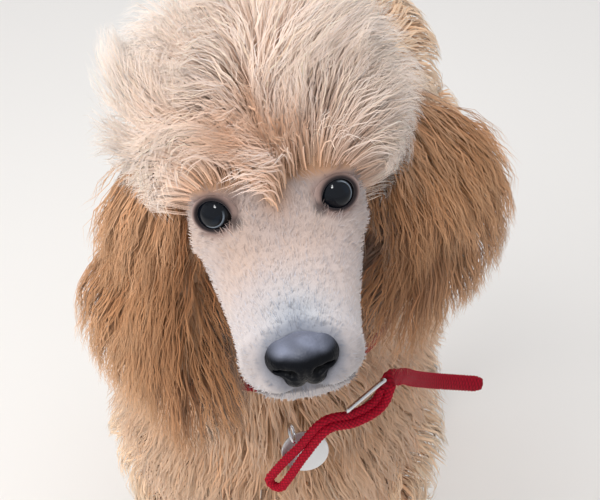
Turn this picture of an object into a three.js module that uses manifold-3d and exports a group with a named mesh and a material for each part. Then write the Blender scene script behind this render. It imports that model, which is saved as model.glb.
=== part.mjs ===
// A standard poodle about eight months old, standing four-square and looking up over a red braided collar.
// Millimetres, +Z up. The dog faces -Y, its left side is towards +X, and it stands on the plane z = 0.
// The coat is a puppy clip: face, throat, feet and tail root are clipped short, and the rest is full.
import * as THREE from "three";
import { mergeVertices } from "three/addons/utils/BufferGeometryUtils.js";
import Module from "manifold-3d";

const wasm = await Module();
wasm.setup();

// Driving dimensions
const WITHERS_HEIGHT = 560;
const BODY_LENGTH = 556;
const CHEST_HALF_WIDTH = 82;
const FORELEG_X = 68;
const HINDLEG_X = 74;
const PASTERN_Y = -184;
const HOCK_Y = 298;
const FOOT_TOP = 54;
const EYE_SPACING = 57;
const EYE_RADIUS = 11;
const EYE_OPENING = [9.2, 8];
const EYE_OUTWARD = 20;
const EYE_UPWARD = 14;
const EYE_SETBACK = 4;
const NOSE_REACH = 104;
const NOSE_WIDTH = 34;
const HEAD_TURN = 8;
const HEAD_LIFT = 8;
const HEAD_TILT = 9.2;
const GAZE_LIFT = 33;
const HEAD_ASIDE = 30;
const POLL = new THREE.Vector3(HEAD_ASIDE - 10, -312, 680);
const POLL_BEHIND_EYES = 95;
const POLL_BELOW_EYES = 30;
const EAR_LENGTH = { left: 136, right: 146 };
const EAR_SETBACK = { left: 16, right: -12 };
const EAR_SWING = { left: 26, right: 0 };
const EAR_TWIST = 1;
const EAR_ROOM = 5;
const EAR_LOCK = { length: 58, width: 19, sink: 2 };
const TORSO_CLUMP = 118;
const NECK_CLUMP = 98;
const FORELEG_CLUMP = 88;
const HINDLEG_CLUMP = 90;
const EAR_SPREAD = { left: 26, right: -7 };
const COLLAR_CORD = 7;
const COLLAR_T = 0.49;
const COLLAR_DEPTH = 0.62;
const STRAP_WIDTH = 11.6;
const STRAP_THICKNESS = 4;
const TAG_RADIUS = 14;
const GAP = 0.3;
const SEED = 7;

// The solid core fills this share of the coat's depth, and each clump's root is sunk in it this far
const CORE_SHARE = 0.42;
const ROOT_SINK = 14;

const LEFT = new THREE.Vector3(1, 0, 0);
const UP = new THREE.Vector3(0, 0, 1);
const DOWN = new THREE.Vector3(0, 0, -1);
const rad = THREE.MathUtils.degToRad;
const vec = (x, y, z) => new THREE.Vector3(x, y, z);

// Seeded draws from -1 to 1, so that every build gives the same dog
let drawn = SEED;
function vary() {
  drawn = (drawn * 16807) % 2147483647;
  return (drawn / 2147483647) * 2 - 1;
}

// A closed geometry as a solid
function solid(geometry) {
  const bare = geometry.index ? geometry.toNonIndexed() : geometry.clone();
  bare.deleteAttribute("normal");
  bare.deleteAttribute("uv");
  const merged = mergeVertices(bare, 1e-4);
  const triVerts = new Uint32Array(merged.index.array);
  const mesh = { numProp: 3, vertProperties: merged.attributes.position.array, triVerts };
  const made = new wasm.Manifold(new wasm.Mesh(mesh));
  if (made.volume() > 0) return made;
  for (let i = 0; i < triVerts.length; i += 3) {
    [triVerts[i + 1], triVerts[i + 2]] = [triVerts[i + 2], triVerts[i + 1]];
  }
  return new wasm.Manifold(new wasm.Mesh(mesh));
}

const join = (pieces) => wasm.Manifold.union(pieces);

// The largest closed piece of a solid, so that no loose scrap stays
function whole(made) {
  const pieces = made.decompose();
  pieces.sort((a, b) => b.volume() - a.volume());
  return pieces[0];
}

// A ball's vertices moved by place(share of the way from pole to pole, angle round, whether it is a pole)
function warped(sides, rings, place) {
  const ball = new THREE.SphereGeometry(1, sides, rings);
  const position = ball.attributes.position;
  for (let i = 0; i < position.count; i++) {
    const share = Math.acos(THREE.MathUtils.clamp(position.getY(i), -1, 1)) / Math.PI;
    const angle = Math.atan2(position.getZ(i), position.getX(i));
    const spot = place(share, angle, share < 1e-6 || share > 1 - 1e-6);
    position.setXYZ(i, spot.x, spot.y, spot.z);
  }
  return ball;
}

function ellipsoid([x, y, z], wide, deep, high, sides = 10, rings = 7) {
  const ball = new THREE.SphereGeometry(1, sides, rings);
  ball.rotateX(Math.PI / 2);
  return solid(ball.scale(wide, deep, high).translate(x, y, z));
}

// A box with its low and high corners
function block(low, high) {
  const size = high.map((value, i) => value - low[i]);
  const middle = high.map((value, i) => (value + low[i]) / 2);
  return solid(new THREE.BoxGeometry(...size).translate(...middle));
}

// A big block on the side of a plane that its normal points to, its near face moved off the plane by the gap
function sideOf(point, normal, gap = GAP / 2) {
  const size = 1200;
  const turn = new THREE.Quaternion().setFromUnitVectors(UP, normal.clone().normalize());
  const box = new THREE.BoxGeometry(2 * size, 2 * size, size).translate(0, 0, size / 2 + gap);
  return solid(box.applyQuaternion(turn).translate(point.x, point.y, point.z));
}

// A smooth form swept through sections. Each has its centre, half width, reach to its top and under sides,
// the depth of coat on it, and how square it is.
class Form {
  constructor(sections, side = LEFT) {
    this.side = side;
    const along = [0];
    for (let i = 1; i < sections.length; i++) {
      along.push(along[i - 1] + vec(...sections[i].at).distanceTo(vec(...sections[i - 1].at)));
    }
    this.length = along.at(-1);
    const values = sections.flatMap((s) => [...s.at, s.wide, s.top, s.under, s.coat ?? 0, s.square ?? 0]);
    this.sweep = new THREE.CubicInterpolant(along.map((d) => d / this.length), values, 8);
  }

  section(t) {
    const [x, y, z, wide, top, under, coat, square] = this.sweep.evaluate(THREE.MathUtils.clamp(t, 0, 1));
    return { centre: vec(x, y, z), wide, top, under, coat, square };
  }

  axes(t) {
    const step = 0.01;
    const ahead = this.section(t + step).centre.sub(this.section(t - step).centre).normalize();
    const side = this.side.clone().addScaledVector(ahead, -this.side.dot(ahead)).normalize();
    return { ahead, side, top: side.clone().cross(ahead) };
  }

  // The point at an angle round section t, where 90 degrees is its top side, moved out by so much
  point(t, angle, out = 0) {
    const s = this.section(t);
    const { side, top } = this.axes(t);
    const bend = 1 - 0.5 * s.square;
    const across = Math.sign(Math.cos(angle)) * Math.abs(Math.cos(angle)) ** bend;
    const over = Math.sign(Math.sin(angle)) * Math.abs(Math.sin(angle)) ** bend;
    const reach = over > 0 ? s.top : s.under;
    return s.centre.addScaledVector(side, (s.wide + out) * across).addScaledVector(top, (reach + out) * over);
  }

  outward(t, angle) {
    const step = 0.02;
    const along = this.point(Math.min(t + step, 1), angle).sub(this.point(Math.max(t - step, 0), angle));
    const round = this.point(t, angle + step).sub(this.point(t, angle - step));
    const out = round.cross(along).normalize();
    const middle = this.section(t).centre;
    return out.dot(this.point(t, angle).sub(middle)) < 0 ? out.negate() : out;
  }

  // The form as a solid, grown by a share of its coat and by a margin
  solid(sides, rings, coatShare = 0, margin = 0) {
    return solid(
      warped(sides, rings, (share, angle, pole) => {
        const s = this.section(share);
        return pole ? s.centre : this.point(share, angle, s.coat * coatShare + margin);
      }),
    );
  }
}

// Hair in one piece from its root, out and along its lie. A clump is round, and a lock is flat and tapers.
function tuft({ root, out, lie, length, width, flat, bend, tapered, sides, rings }) {
  const across = out.clone().cross(lie).normalize();
  const thick = across.clone().cross(out).normalize();
  return solid(
    warped(sides, rings, (share, angle, pole) => {
      const s = tapered ? share : (1 - Math.cos(Math.PI * share)) / 2;
      const spot = root.clone().addScaledVector(out, length * s).addScaledVector(lie, length * bend * s * s);
      if (pole) return spot;
      const size = width * (tapered ? 1 - 0.62 * s * s : Math.sin(Math.PI * share));
      const turned = angle + (share * rings * Math.PI) / sides;
      return spot
        .addScaledVector(across, size * Math.cos(turned))
        .addScaledVector(thick, size * flat * Math.sin(turned));
    }),
  );
}

// A rounded clump on a spot of the core, reaching out so far and leaning along the lie
function clump(spot, out, lie, reach, spacing) {
  return tuft({
    root: spot.clone().addScaledVector(out, -ROOT_SINK),
    out,
    lie: lie.clone().addScaledVector(out, -lie.dot(out)).normalize(),
    length: reach + ROOT_SINK + 3 * vary(),
    width: spacing * (0.64 + 0.03 * vary()),
    flat: 0.92,
    bend: 0.25,
    tapered: false,
    sides: 5,
    rings: 3,
  });
}

// Rounded clumps set close along a form in staggered rows
function clumpsAlong(form, { from, to, spacing, lie, keep = () => true }) {
  const clumps = [];
  const rows = Math.max(1, Math.round(((to - from) * form.length) / spacing));
  for (let row = 0; row < rows; row++) {
    const t = from + ((row + 0.5) / rows) * (to - from);
    const s = form.section(t);
    const girth = Math.PI * (s.wide + (s.top + s.under) / 2 + 1.2 * s.coat);
    const count = Math.max(3, Math.round(girth / spacing));
    for (let i = 0; i < count; i++) {
      const angle = ((i + (row % 2) / 2 + 0.1 * vary()) / count) * 2 * Math.PI;
      const spotT = THREE.MathUtils.clamp(t + (0.1 * vary() * spacing) / form.length, 0.01, 0.99);
      const spot = form.point(spotT, angle, s.coat * CORE_SHARE);
      if (!keep(spot, spotT, angle)) continue;
      clumps.push(clump(spot, form.outward(spotT, angle), lie, s.coat * (1 - CORE_SHARE), spacing));
    }
  }
  return clumps;
}

// Rounded clumps spread evenly over an ellipsoid of coat, in a spiral from its top down
function clumpsRound({ centre, radii, coat, count, lie, keep = () => true }) {
  const clumps = [];
  const core = radii.clone().subScalar(coat * (1 - CORE_SHARE));
  const spacing = Math.sqrt((4 * Math.PI * radii.x * radii.z) / count);
  for (let i = 0; i < count; i++) {
    const high = 1 - (2 * i + 1) / count;
    const round = i * Math.PI * (3 - Math.sqrt(5)) + 0.1 * vary();
    const level = Math.sqrt(1 - high * high);
    const way = vec(level * Math.cos(round), level * Math.sin(round), high);
    const spot = way.clone().multiply(core).add(centre);
    if (!keep(spot)) continue;
    clumps.push(clump(spot, way.clone().divide(radii).normalize(), lie, coat * (1 - CORE_SHARE), spacing));
  }
  return clumps;
}

const nodes = [];
function node(name, made, look, frame = new THREE.Matrix4()) {
  nodes.push({ name, made, look, frame });
}

const COAT = { color: "#dcb893", roughness: 0.95 };
const EAR_COAT = { color: "#b98357", roughness: 0.95 };
const FACE = { color: "#e8cdb8", roughness: 0.9 };
const LEATHER = { color: "#2b2a2f", roughness: 0.45 };
const EYE = { color: "#161a24", roughness: 0.08 };
const CLAW = { color: "#4a403a", roughness: 0.4 };
const BRAID = { color: "#b3121f", roughness: 0.7 };
const STEEL = { color: "#c6c7ca", roughness: 0.28, metalness: 1 };

const halfBody = BODY_LENGTH / 2;
const mirrored = ({ at: [x, y, z], ...rest }, side) => ({ at: [side * x, y, z], ...rest });

// Torso, from the breast to the buttocks
const torsoForm = new Form([
  { at: [0, -halfBody + 4, 438], wide: 18, top: 26, under: 28, coat: 40 },
  { at: [0, -halfBody + 34, 444], wide: 58, top: 66, under: 84, coat: 46 },
  { at: [0, -190, 454], wide: 76, top: 98, under: 114, coat: 46 },
  { at: [0, -110, 452], wide: CHEST_HALF_WIDTH, top: WITHERS_HEIGHT - 454, under: 116, coat: 42 },
  { at: [0, -20, 450], wide: CHEST_HALF_WIDTH + 2, top: 98, under: 106, coat: 38 },
  { at: [0, 80, 460], wide: 76, top: 86, under: 82, coat: 36 },
  { at: [0, 160, 470], wide: 70, top: 78, under: 62, coat: 36 },
  { at: [0, 225, 474], wide: 70, top: 66, under: 60, coat: 34 },
  { at: [0, halfBody - 16, 474], wide: 50, top: 42, under: 42, coat: 32 },
  { at: [0, halfBody + 2, 472], wide: 14, top: 12, under: 14, coat: 30 },
]);

// Neck, from inside the shoulders up past the poll. Its top side here is the throat.
const neckForm = new Form([
  { at: [0, -180, 452], wide: 62, top: 78, under: 78, coat: 42 },
  { at: [0.15 * HEAD_ASIDE, -226, 535], wide: 58, top: 68, under: 66, coat: 46 },
  { at: [0.42 * HEAD_ASIDE, -262, 602], wide: 52, top: 58, under: 56, coat: 42 },
  { at: [0.58 * HEAD_ASIDE, -292, 652], wide: 46, top: 50, under: 50, coat: 32 },
  { at: [0.63 * HEAD_ASIDE, -318, 696], wide: 40, top: 46, under: 40, coat: 24 },
  { at: [0.57 * HEAD_ASIDE, -336, 730], wide: 20, top: 20, under: 20, coat: 20 },
]);

// Legs of one side, from the foot up. Their top side here is the front.
const forelegForm = (side) =>
  new Form(
    [
      { at: [FORELEG_X, PASTERN_Y, 38], wide: 17, top: 17, under: 17, coat: 16 },
      { at: [FORELEG_X, PASTERN_Y + 4, 70], wide: 17, top: 17, under: 17, coat: 24 },
      { at: [FORELEG_X, PASTERN_Y + 14, 130], wide: 19, top: 19, under: 19, coat: 29 },
      { at: [FORELEG_X, PASTERN_Y + 24, 210], wide: 20, top: 22, under: 22, coat: 30 },
      { at: [FORELEG_X, PASTERN_Y + 30, 300], wide: 26, top: 34, under: 34, coat: 31 },
      { at: [FORELEG_X - 3, PASTERN_Y + 19, 385], wide: 34, top: 50, under: 44, coat: 32 },
      { at: [FORELEG_X - 10, PASTERN_Y + 4, 440], wide: 20, top: 30, under: 28, coat: 28 },
    ].map((section) => mirrored(section, side)),
  );
const hindlegForm = (side) =>
  new Form(
    [
      { at: [HINDLEG_X, HOCK_Y - 4, 38], wide: 16, top: 17, under: 17, coat: 16 },
      { at: [HINDLEG_X, HOCK_Y + 2, 75], wide: 16, top: 17, under: 17, coat: 24 },
      { at: [HINDLEG_X, HOCK_Y + 4, 125], wide: 18, top: 19, under: 20, coat: 27 },
      { at: [HINDLEG_X, HOCK_Y - 14, 180], wide: 20, top: 22, under: 24, coat: 28 },
      { at: [HINDLEG_X, HOCK_Y - 60, 245], wide: 25, top: 28, under: 34, coat: 29 },
      { at: [HINDLEG_X, HOCK_Y - 98, 312], wide: 34, top: 48, under: 54, coat: 30 },
      { at: [HINDLEG_X - 4, HOCK_Y - 106, 390], wide: 42, top: 68, under: 66, coat: 32 },
      { at: [HINDLEG_X - 14, HOCK_Y - 102, 455], wide: 32, top: 44, under: 46, coat: 30 },
    ].map((section) => mirrored(section, side)),
  );

// Tail: a clipped stem carried up, with a pompon
const TAIL_ROOT = vec(0, 240, 516);
const tailForm = new Form([
  { at: [0, 228, 494], wide: 14, top: 14, under: 14 },
  { at: [0, 262, 552], wide: 15, top: 15, under: 15 },
  { at: [0, 281, 604], wide: 13, top: 13, under: 13 },
  { at: [0, 290, 662], wide: 11, top: 11, under: 11 },
  { at: [0, 292, 692], wide: 6, top: 6, under: 6 },
]);
const POMPON = { centre: vec(0, 291, 696), radii: vec(62, 62, 68), coat: 44, count: 11, lie: UP };

// The head's own frame: its origin is midway between the eyes, with -Y along the muzzle
const facing = rad(HEAD_TURN);
const lift = rad(HEAD_LIFT);
const headLeft = vec(Math.cos(facing), Math.sin(facing), 0);
const headBack = vec(-Math.sin(facing) * Math.cos(lift), Math.cos(facing) * Math.cos(lift), -Math.sin(lift));
const headUp = headLeft.clone().cross(headBack);
const gazeLift = rad(GAZE_LIFT);
const gaze = vec(Math.sin(facing), -Math.cos(facing), Math.tan(gazeLift)).normalize();
const headFrame = new THREE.Matrix4()
  .makeRotationAxis(gaze, rad(HEAD_TILT))
  .multiply(new THREE.Matrix4().makeBasis(headLeft, headBack, headUp));
const pollInHead = vec(0, POLL_BEHIND_EYES, -POLL_BELOW_EYES);
headFrame.setPosition(POLL.clone().sub(pollInHead.clone().applyMatrix4(headFrame)));
const intoHead = headFrame.clone().invert();

// Skull with the upper jaw, and the lower jaw under it
const skullForm = new Form([
  { at: [0, -NOSE_REACH + 9, -39], wide: 16, top: 11, under: 10 },
  { at: [0, -NOSE_REACH + 15, -39], wide: 25, top: 16, under: 14.5, square: 0.2 },
  { at: [0, -70, -39], wide: 28.5, top: 18.5, under: 17, square: 0.3 },
  { at: [0, -40, -38], wide: 31.5, top: 21, under: 20, square: 0.3 },
  { at: [0, -14, -31], wide: 36, top: 21, under: 28, square: 0.2 },
  { at: [0, 14, -16], wide: 43, top: 31, under: 42, square: 0.1 },
  { at: [0, 50, -4], wide: 48, top: 42, under: 50 },
  { at: [0, 86, 0], wide: 44, top: 36, under: 44 },
  { at: [0, 108, 0], wide: 22, top: 20, under: 24 },
]);
const jawForm = new Form([
  { at: [0, -NOSE_REACH + 14, -51], wide: 7, top: 4, under: 4 },
  { at: [0, -NOSE_REACH + 19, -51], wide: 18, top: 7, under: 8, square: 0.2 },
  { at: [0, -62, -52], wide: 22, top: 9, under: 9.5, square: 0.2 },
  { at: [0, -26, -50], wide: 27, top: 13, under: 13 },
  { at: [0, 14, -44], wide: 36, top: 18, under: 22 },
  { at: [0, 60, -36], wide: 30, top: 16, under: 20 },
]);

// The topknot stands on the crown and comes down to the brows and the tops of the ears
const TOPKNOT = { centre: vec(0, 56, 32), radii: vec(85, 74, 84), coat: 46, count: 28 };
const TOPKNOT_LOW = { front: -8, back: -52 };
const onTopknot = (spot) => spot.z > (spot.y > POLL_BEHIND_EYES - 25 ? TOPKNOT_LOW.back : TOPKNOT_LOW.front);

// Where the head meets the neck, the neck the torso, and each leg the torso
const neckLine = POLL.clone().sub(vec(0, -190, 450)).normalize();
const headCut = POLL.clone().addScaledVector(neckLine, -14);
const shoulderCut = vec(0, -205, 500);
const shoulderLine = vec(0, -0.5, 0.866);
const ELBOW_CUT = 316;
const FLANK_CUT = 388;
const HOCK_CUT = 172;

function makeBody() {
  const bodyLie = vec(0, 0.45, -0.9);
  const legLie = vec(0, 0.1, -1);
  const offTorso = (spot) => !(spot.y < -165 && spot.z > 515) && spot.z > 330;
  const onNeck = (spot, t, angle) => t > 0.2 && !(Math.sin(angle) > 0.45 && t > 0.47);
  const pieces = [
    torsoForm.solid(10, 10, CORE_SHARE),
    neckForm.solid(12, 7, CORE_SHARE * 0.5),
    ...clumpsAlong(torsoForm, { from: 0.03, to: 0.98, spacing: TORSO_CLUMP, lie: bodyLie, keep: offTorso }),
    ...clumpsAlong(neckForm, { from: 0.2, to: 0.9, spacing: NECK_CLUMP, lie: DOWN, keep: onNeck }),
    clump(vec(0, -272, 452), vec(0, -0.95, 0.1), DOWN, 26, 96),
    clump(vec(0, 272, 474), vec(0, 1, 0), DOWN, 22, 90),
  ];
  for (const side of [1, -1]) {
    const foreleg = forelegForm(side);
    const hindleg = hindlegForm(side);
    pieces.push(foreleg.solid(7, 8, CORE_SHARE), hindleg.solid(7, 10, CORE_SHARE));
    pieces.push(...clumpsAlong(foreleg, { from: 0.05, to: 0.8, spacing: FORELEG_CLUMP, lie: legLie }));
    pieces.push(...clumpsAlong(hindleg, { from: 0.03, to: 0.8, spacing: HINDLEG_CLUMP, lie: legLie }));
  }
  return join(pieces);
}

// An ear hangs straight down from the side of the skull, whatever way the head tilts
const hangLeft = vec(Math.cos(facing), Math.sin(facing), 0);
const hangBack = vec(-Math.sin(facing), Math.cos(facing), 0);
const earName = (side) => (side > 0 ? "left" : "right");
const earSections = [
  { at: [2, 6, 20], wide: 16, top: 7, under: 7, coat: 14 },
  { at: [15, 5, -6], wide: 29, top: 9, under: 9, coat: 18 },
  { at: [24, 4, -38], wide: 38, top: 10, under: 10, coat: 19 },
  { at: [27, 2, -74], wide: 41, top: 10, under: 10, coat: 19 },
  { at: [24, 0, -104], wide: 32, top: 8, under: 8, coat: 17 },
  { at: [20, -1, -124], wide: 11, top: 4, under: 4, coat: 14 },
];

function earForm(side) {
  const name = earName(side);
  const base = vec(side * 44, 50, -2).applyMatrix4(headFrame).addScaledVector(hangBack, EAR_SETBACK[name]);
  const drop = EAR_LENGTH[name] / 140;
  const sections = earSections.map((s) => {
    const [out, back, up] = s.at;
    const spread = side * (out + EAR_SPREAD[name] * Math.min(1, (12 - up) / 50));
    const swing = EAR_SWING[name] * Math.max(0, (12 - up) / 136);
    const at = base.clone().addScaledVector(hangLeft, spread).addScaledVector(hangBack, back + swing);
    return { ...s, at: at.addScaledVector(UP, up * drop).toArray() };
  });
  // The broad side of the ear faces outward and forward
  const broad = hangLeft.clone().multiplyScalar(side).addScaledVector(hangBack, EAR_TWIST).normalize();
  return new Form(sections, broad.multiplyScalar(side));
}

// The room that an ear lies in, beside the head and in the coat of the neck
const earRoom = (side, gap) => earForm(side).solid(12, 9, 1, EAR_ROOM + gap);

function makeEar(side) {
  const form = earForm(side);
  const locks = [];
  const rows = [0, 0.22, 0.46, 0.7];
  rows.forEach((t, row) => {
    const count = 4;
    for (let i = 0; i < count; i++) {
      const angle = ((i + (row % 2) / 2) / count) * 2 * Math.PI;
      const out = form.outward(t, angle);
      const fall = DOWN.clone().addScaledVector(out, 0.34 + 0.05 * vary()).normalize();
      locks.push(
        tuft({
          root: form.point(t, angle, -EAR_LOCK.sink),
          out: fall,
          lie: DOWN.clone().addScaledVector(fall, fall.z).normalize(),
          length: EAR_LOCK.length + 5 * vary(),
          width: EAR_LOCK.width + 2 * vary(),
          flat: 0.5,
          bend: 0.2,
          tapered: true,
          sides: 5,
          rings: 3,
        }),
      );
    }
  });
  const cup = form.section(0.2).centre.addScaledVector(hangLeft, -side * 14);
  const made = join([form.solid(8, 6, 0.3), ...locks]).subtract(ellipsoid(cup.toArray(), 7, 11, 18, 6, 4));
  return whole(made.intersect(earRoom(side, -GAP)));
}

// Eyes look a little outward, and each lies in a socket that its lids close round
function eyePlace(side) {
  const outward = new THREE.Matrix4().makeRotationZ(side * rad(EYE_OUTWARD));
  const upward = new THREE.Matrix4().makeRotationX(rad(-EYE_UPWARD));
  return outward.multiply(upward).setPosition((side * EYE_SPACING) / 2, EYE_SETBACK, 0);
}

function lid(side) {
  const shell = ellipsoid([0, 0, 0], EYE_RADIUS + 2.4, EYE_RADIUS + 1.5, EYE_RADIUS + 1.8, 10, 7);
  return shell.transform(eyePlace(side).elements);
}

function socket(side) {
  const [wide, high] = EYE_OPENING;
  const hollow = ellipsoid([0, 0, 0], EYE_RADIUS + GAP, EYE_RADIUS + GAP, EYE_RADIUS + GAP, 10, 8);
  const opening = new THREE.CylinderGeometry(1, 1, 30, 10).scale(wide, 1, high).translate(0, -15, 0);
  return hollow.add(solid(opening)).transform(eyePlace(side).elements);
}

// A groove along the mouth from one corner round the front to the other
function mouthLine() {
  const path = [];
  for (let i = 0; i <= 14; i++) {
    const across = i / 7 - 1;
    const t = 0.03 + 0.3 * Math.abs(across) ** 1.6;
    const dip = -54 + 18 * Math.abs(across);
    const angle = across < 0 ? rad(180 - dip) : rad(dip);
    path.push(across === 0 ? vec(0, -NOSE_REACH + 9.5, -50.5) : skullForm.point(t, angle, 0.5));
  }
  const groove = new THREE.Shape([vec(0, -1.6, 0), vec(1.6, 0, 0), vec(0, 1.6, 0), vec(-1.6, 0, 0)]);
  const curve = new THREE.CatmullRomCurve3(path);
  return solid(new THREE.ExtrudeGeometry(groove, { steps: 18, extrudePath: curve, bevelEnabled: false }));
}

const noseCentre = [0, -NOSE_REACH + 13.5, -34];
function noseBody(margin) {
  const wings = [1, -1].map((side) =>
    ellipsoid([side * 8, noseCentre[1] + 1, -32], 9.3 + margin, 10.5 + margin, 9.5 + margin, 7, 5),
  );
  const ball = ellipsoid(noseCentre, NOSE_WIDTH / 2 - 3 + margin, 12.5 + margin, 12.3 + margin, 9, 6);
  return join([ball, ...wings]);
}

function makeNose() {
  const cuts = [1, -1].map((side) => ellipsoid([side * 7.6, -NOSE_REACH + 2.5, -35.5], 3.4, 5, 3, 5, 4));
  cuts.push(block([-0.6, -NOSE_REACH - 4, -50], [0.6, -NOSE_REACH + 3.5, -37]));
  return whole(noseBody(0).subtract(join(cuts)));
}

function makeHead() {
  const brows = [1, -1].map((side) => ellipsoid([side * 24, 12, 9], 15, 14, 11, 7, 5));
  const cheeks = [1, -1].map((side) => ellipsoid([side * 30, 14, -18], 15, 20, 15, 7, 5));
  const core = TOPKNOT.radii.clone().subScalar(TOPKNOT.coat * (1 - CORE_SHARE));
  const crown = ellipsoid(TOPKNOT.centre.toArray(), core.x, core.y, core.z, 10, 8);
  const made = join([
    skullForm.solid(14, 13),
    jawForm.solid(10, 8),
    crown,
    ...brows,
    ...cheeks,
    lid(1),
    lid(-1),
    ...clumpsRound({ ...TOPKNOT, lie: vec(0, -0.5, -0.9), keep: onTopknot }),
  ]);
  const local = (point) => point.clone().applyMatrix4(intoHead);
  const turned = (line) => line.clone().transformDirection(intoHead);
  const cuts = join([
    sideOf(local(headCut), turned(neckLine).negate(), -GAP / 2),
    ...[1, -1].map((side) => earRoom(side, 0).transform(intoHead.elements)),
    socket(1),
    socket(-1),
    noseBody(GAP),
    mouthLine(),
  ]);
  return whole(made.subtract(cuts));
}

// A foot: four arched toes with a pad behind, flat underneath, with a claw socket in each toe
const TOES = [
  { x: -20.5, y: -14 },
  { x: -7.5, y: -25 },
  { x: 7.5, y: -25 },
  { x: 20.5, y: -14 },
];
const TOE_RADIUS = 11;
const TOE_LENGTH = 50;
const TOE_TIP = 20;
const TOE_ARCH = 13;
const CLAW_LENGTH = 10;
const CLAW_HEIGHT = 13;
const CLAW_SETBACK = 17;

function makeClaw() {
  return solid(
    warped(5, 3, (share, angle, pole) => {
      const spot = vec(0, -CLAW_LENGTH * share, -5 * share * share);
      if (pole) return spot;
      const size = 3.4 * (1.3 - share);
      return spot.add(vec(size * 0.8 * Math.cos(angle), -0.01, size * Math.sin(angle)));
    }),
  );
}

function makeFoot(ankle) {
  const pieces = [ellipsoid([ankle.x, ankle.y + 3, 40], 22, 22, 46, 8, 4)];
  const clearings = [];
  for (const toe of TOES) {
    const [x, y] = [ankle.x + toe.x, ankle.y + toe.y];
    const arch = warped(6, 3, (share, angle, pole) => {
      const back = 1 - share;
      const rise = TOE_ARCH * Math.sin(Math.PI * back ** 1.4);
      const spot = vec(x - toe.x * 0.3 * back, y - TOE_TIP + TOE_LENGTH * back, TOE_RADIUS + rise);
      if (pole) return spot;
      const size = TOE_RADIUS - back;
      return spot.add(vec(size * Math.cos(angle), 0, 1.25 * size * Math.sin(angle)));
    });
    pieces.push(solid(arch));
    clearings.push(block([x - 5, y - 40, CLAW_HEIGHT - 7], [x + 5, y - CLAW_SETBACK, CLAW_HEIGHT + 5]));
  }
  const room = block([ankle.x - 60, ankle.y - 80, 0], [ankle.x + 60, ankle.y + 80, FOOT_TOP - GAP / 2]);
  return whole(join(pieces).intersect(room).subtract(join(clearings)));
}

// A closed ring whose surface points are given by path(angle round the ring, angle round its section)
function hoop(steps, sides, path) {
  const ring = new THREE.TorusGeometry(1, 0.3, sides, steps);
  const position = ring.attributes.position;
  for (let i = 0; i < position.count; i++) {
    const column = i % (steps + 1);
    const row = Math.floor(i / (steps + 1));
    const spot = path((column / steps) * 2 * Math.PI, (row / sides) * 2 * Math.PI);
    position.setXYZ(i, spot.x, spot.y, spot.z);
  }
  return solid(ring);
}

// Collar: a cord round the neck, a slide bar at its left front, and a flat strap drawn through the bar,
// one end lying back along the shoulder and the other down the chest. The cord is at COLLAR_T along the neck,
// in the coat at the share COLLAR_DEPTH of its depth.
function collarBand(margin) {
  const { ahead } = neckForm.axes(COLLAR_T);
  return hoop(18, 5, (round, turn) => {
    const coat = neckForm.section(COLLAR_T).coat;
    const spot = neckForm.point(COLLAR_T, round, coat * COLLAR_DEPTH);
    const out = spot.clone().sub(neckForm.section(COLLAR_T).centre).normalize();
    const size = COLLAR_CORD / 2 + margin;
    return spot.addScaledVector(out, size * Math.cos(turn)).addScaledVector(ahead, size * Math.sin(turn));
  });
}

// The strap's middle line, from its end on the shoulder to its end on the chest
const strapLine = new THREE.CatmullRomCurve3([
  vec(148, -205, 458),
  vec(133, -215, 466),
  vec(117, -231, 479),
  vec(104, -257, 501),
  vec(95, -289, 528),
  vec(89, -305, 537),
  vec(85, -311, 526),
  vec(70, -323, 521),
  vec(56, -333, 524),
  vec(39, -332, 499),
  vec(22, -324, 464),
]);

function strap(margin) {
  const wide = STRAP_WIDTH / 2 + margin;
  const thick = STRAP_THICKNESS / 2 + margin;
  return solid(
    warped(6, 13, (share, angle, pole) => {
      const along = strapLine.getTangentAt(share);
      const end = share < 0.5 ? -margin : margin;
      const spot = strapLine.getPointAt(share).addScaledVector(along, pole ? end : 0);
      if (pole) return spot;
      const across = gaze.clone().cross(along).normalize();
      const out = along.clone().cross(across);
      const tip = Math.min(1, 0.72 + 3 * Math.min(share, 1 - share));
      return spot
        .addScaledVector(across, wide * tip * Math.cos(angle))
        .addScaledVector(out, thick * Math.sin(angle));
    }),
  );
}

// The slide: a flat frame of wire round the strap, seen nearly edge on
const SLIDE_WIRE = 1.7;
const SLIDE_CORNERS = [vec(66, -327, 530), vec(87, -317, 548), vec(84, -299, 525), vec(65, -313, 508)];
function slideBar(margin) {
  const middle = SLIDE_CORNERS.reduce((sum, corner) => sum.add(corner), vec(0, 0, 0)).divideScalar(4);
  const edge = (i) => SLIDE_CORNERS[i].clone().sub(middle);
  const over = edge(0).cross(edge(1)).normalize();
  return hoop(4, 5, (round, turn) => {
    const corner = SLIDE_CORNERS[Math.round((round * 2) / Math.PI) % 4];
    const out = corner.clone().sub(middle).normalize();
    const size = SLIDE_WIRE + margin;
    const spot = corner.clone().addScaledVector(out, 1.3 * size * Math.cos(turn));
    return spot.addScaledVector(over, size * Math.sin(turn));
  });
}

// A round ring of wire in the plane across a normal
function wireRing(centre, normal, radius, wire, margin = 0) {
  const turn = new THREE.Quaternion().setFromUnitVectors(UP, normal.clone().normalize());
  const ring = new THREE.TorusGeometry(radius, wire + margin, 5, 10).applyQuaternion(turn);
  return solid(ring.translate(centre.x, centre.y, centre.z));
}

const TAG_CENTRE = vec(40.6, -326.7, 494.6);
const RING_CENTRE = vec(33, -331.2, 512.3);

function tagDisc(radius, thickness, sides) {
  const turn = new THREE.Quaternion().setFromUnitVectors(vec(0, 1, 0), gaze);
  const disc = new THREE.CylinderGeometry(radius, radius, thickness, sides).applyQuaternion(turn);
  return solid(disc.translate(TAG_CENTRE.x, TAG_CENTRE.y, TAG_CENTRE.z));
}

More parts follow.
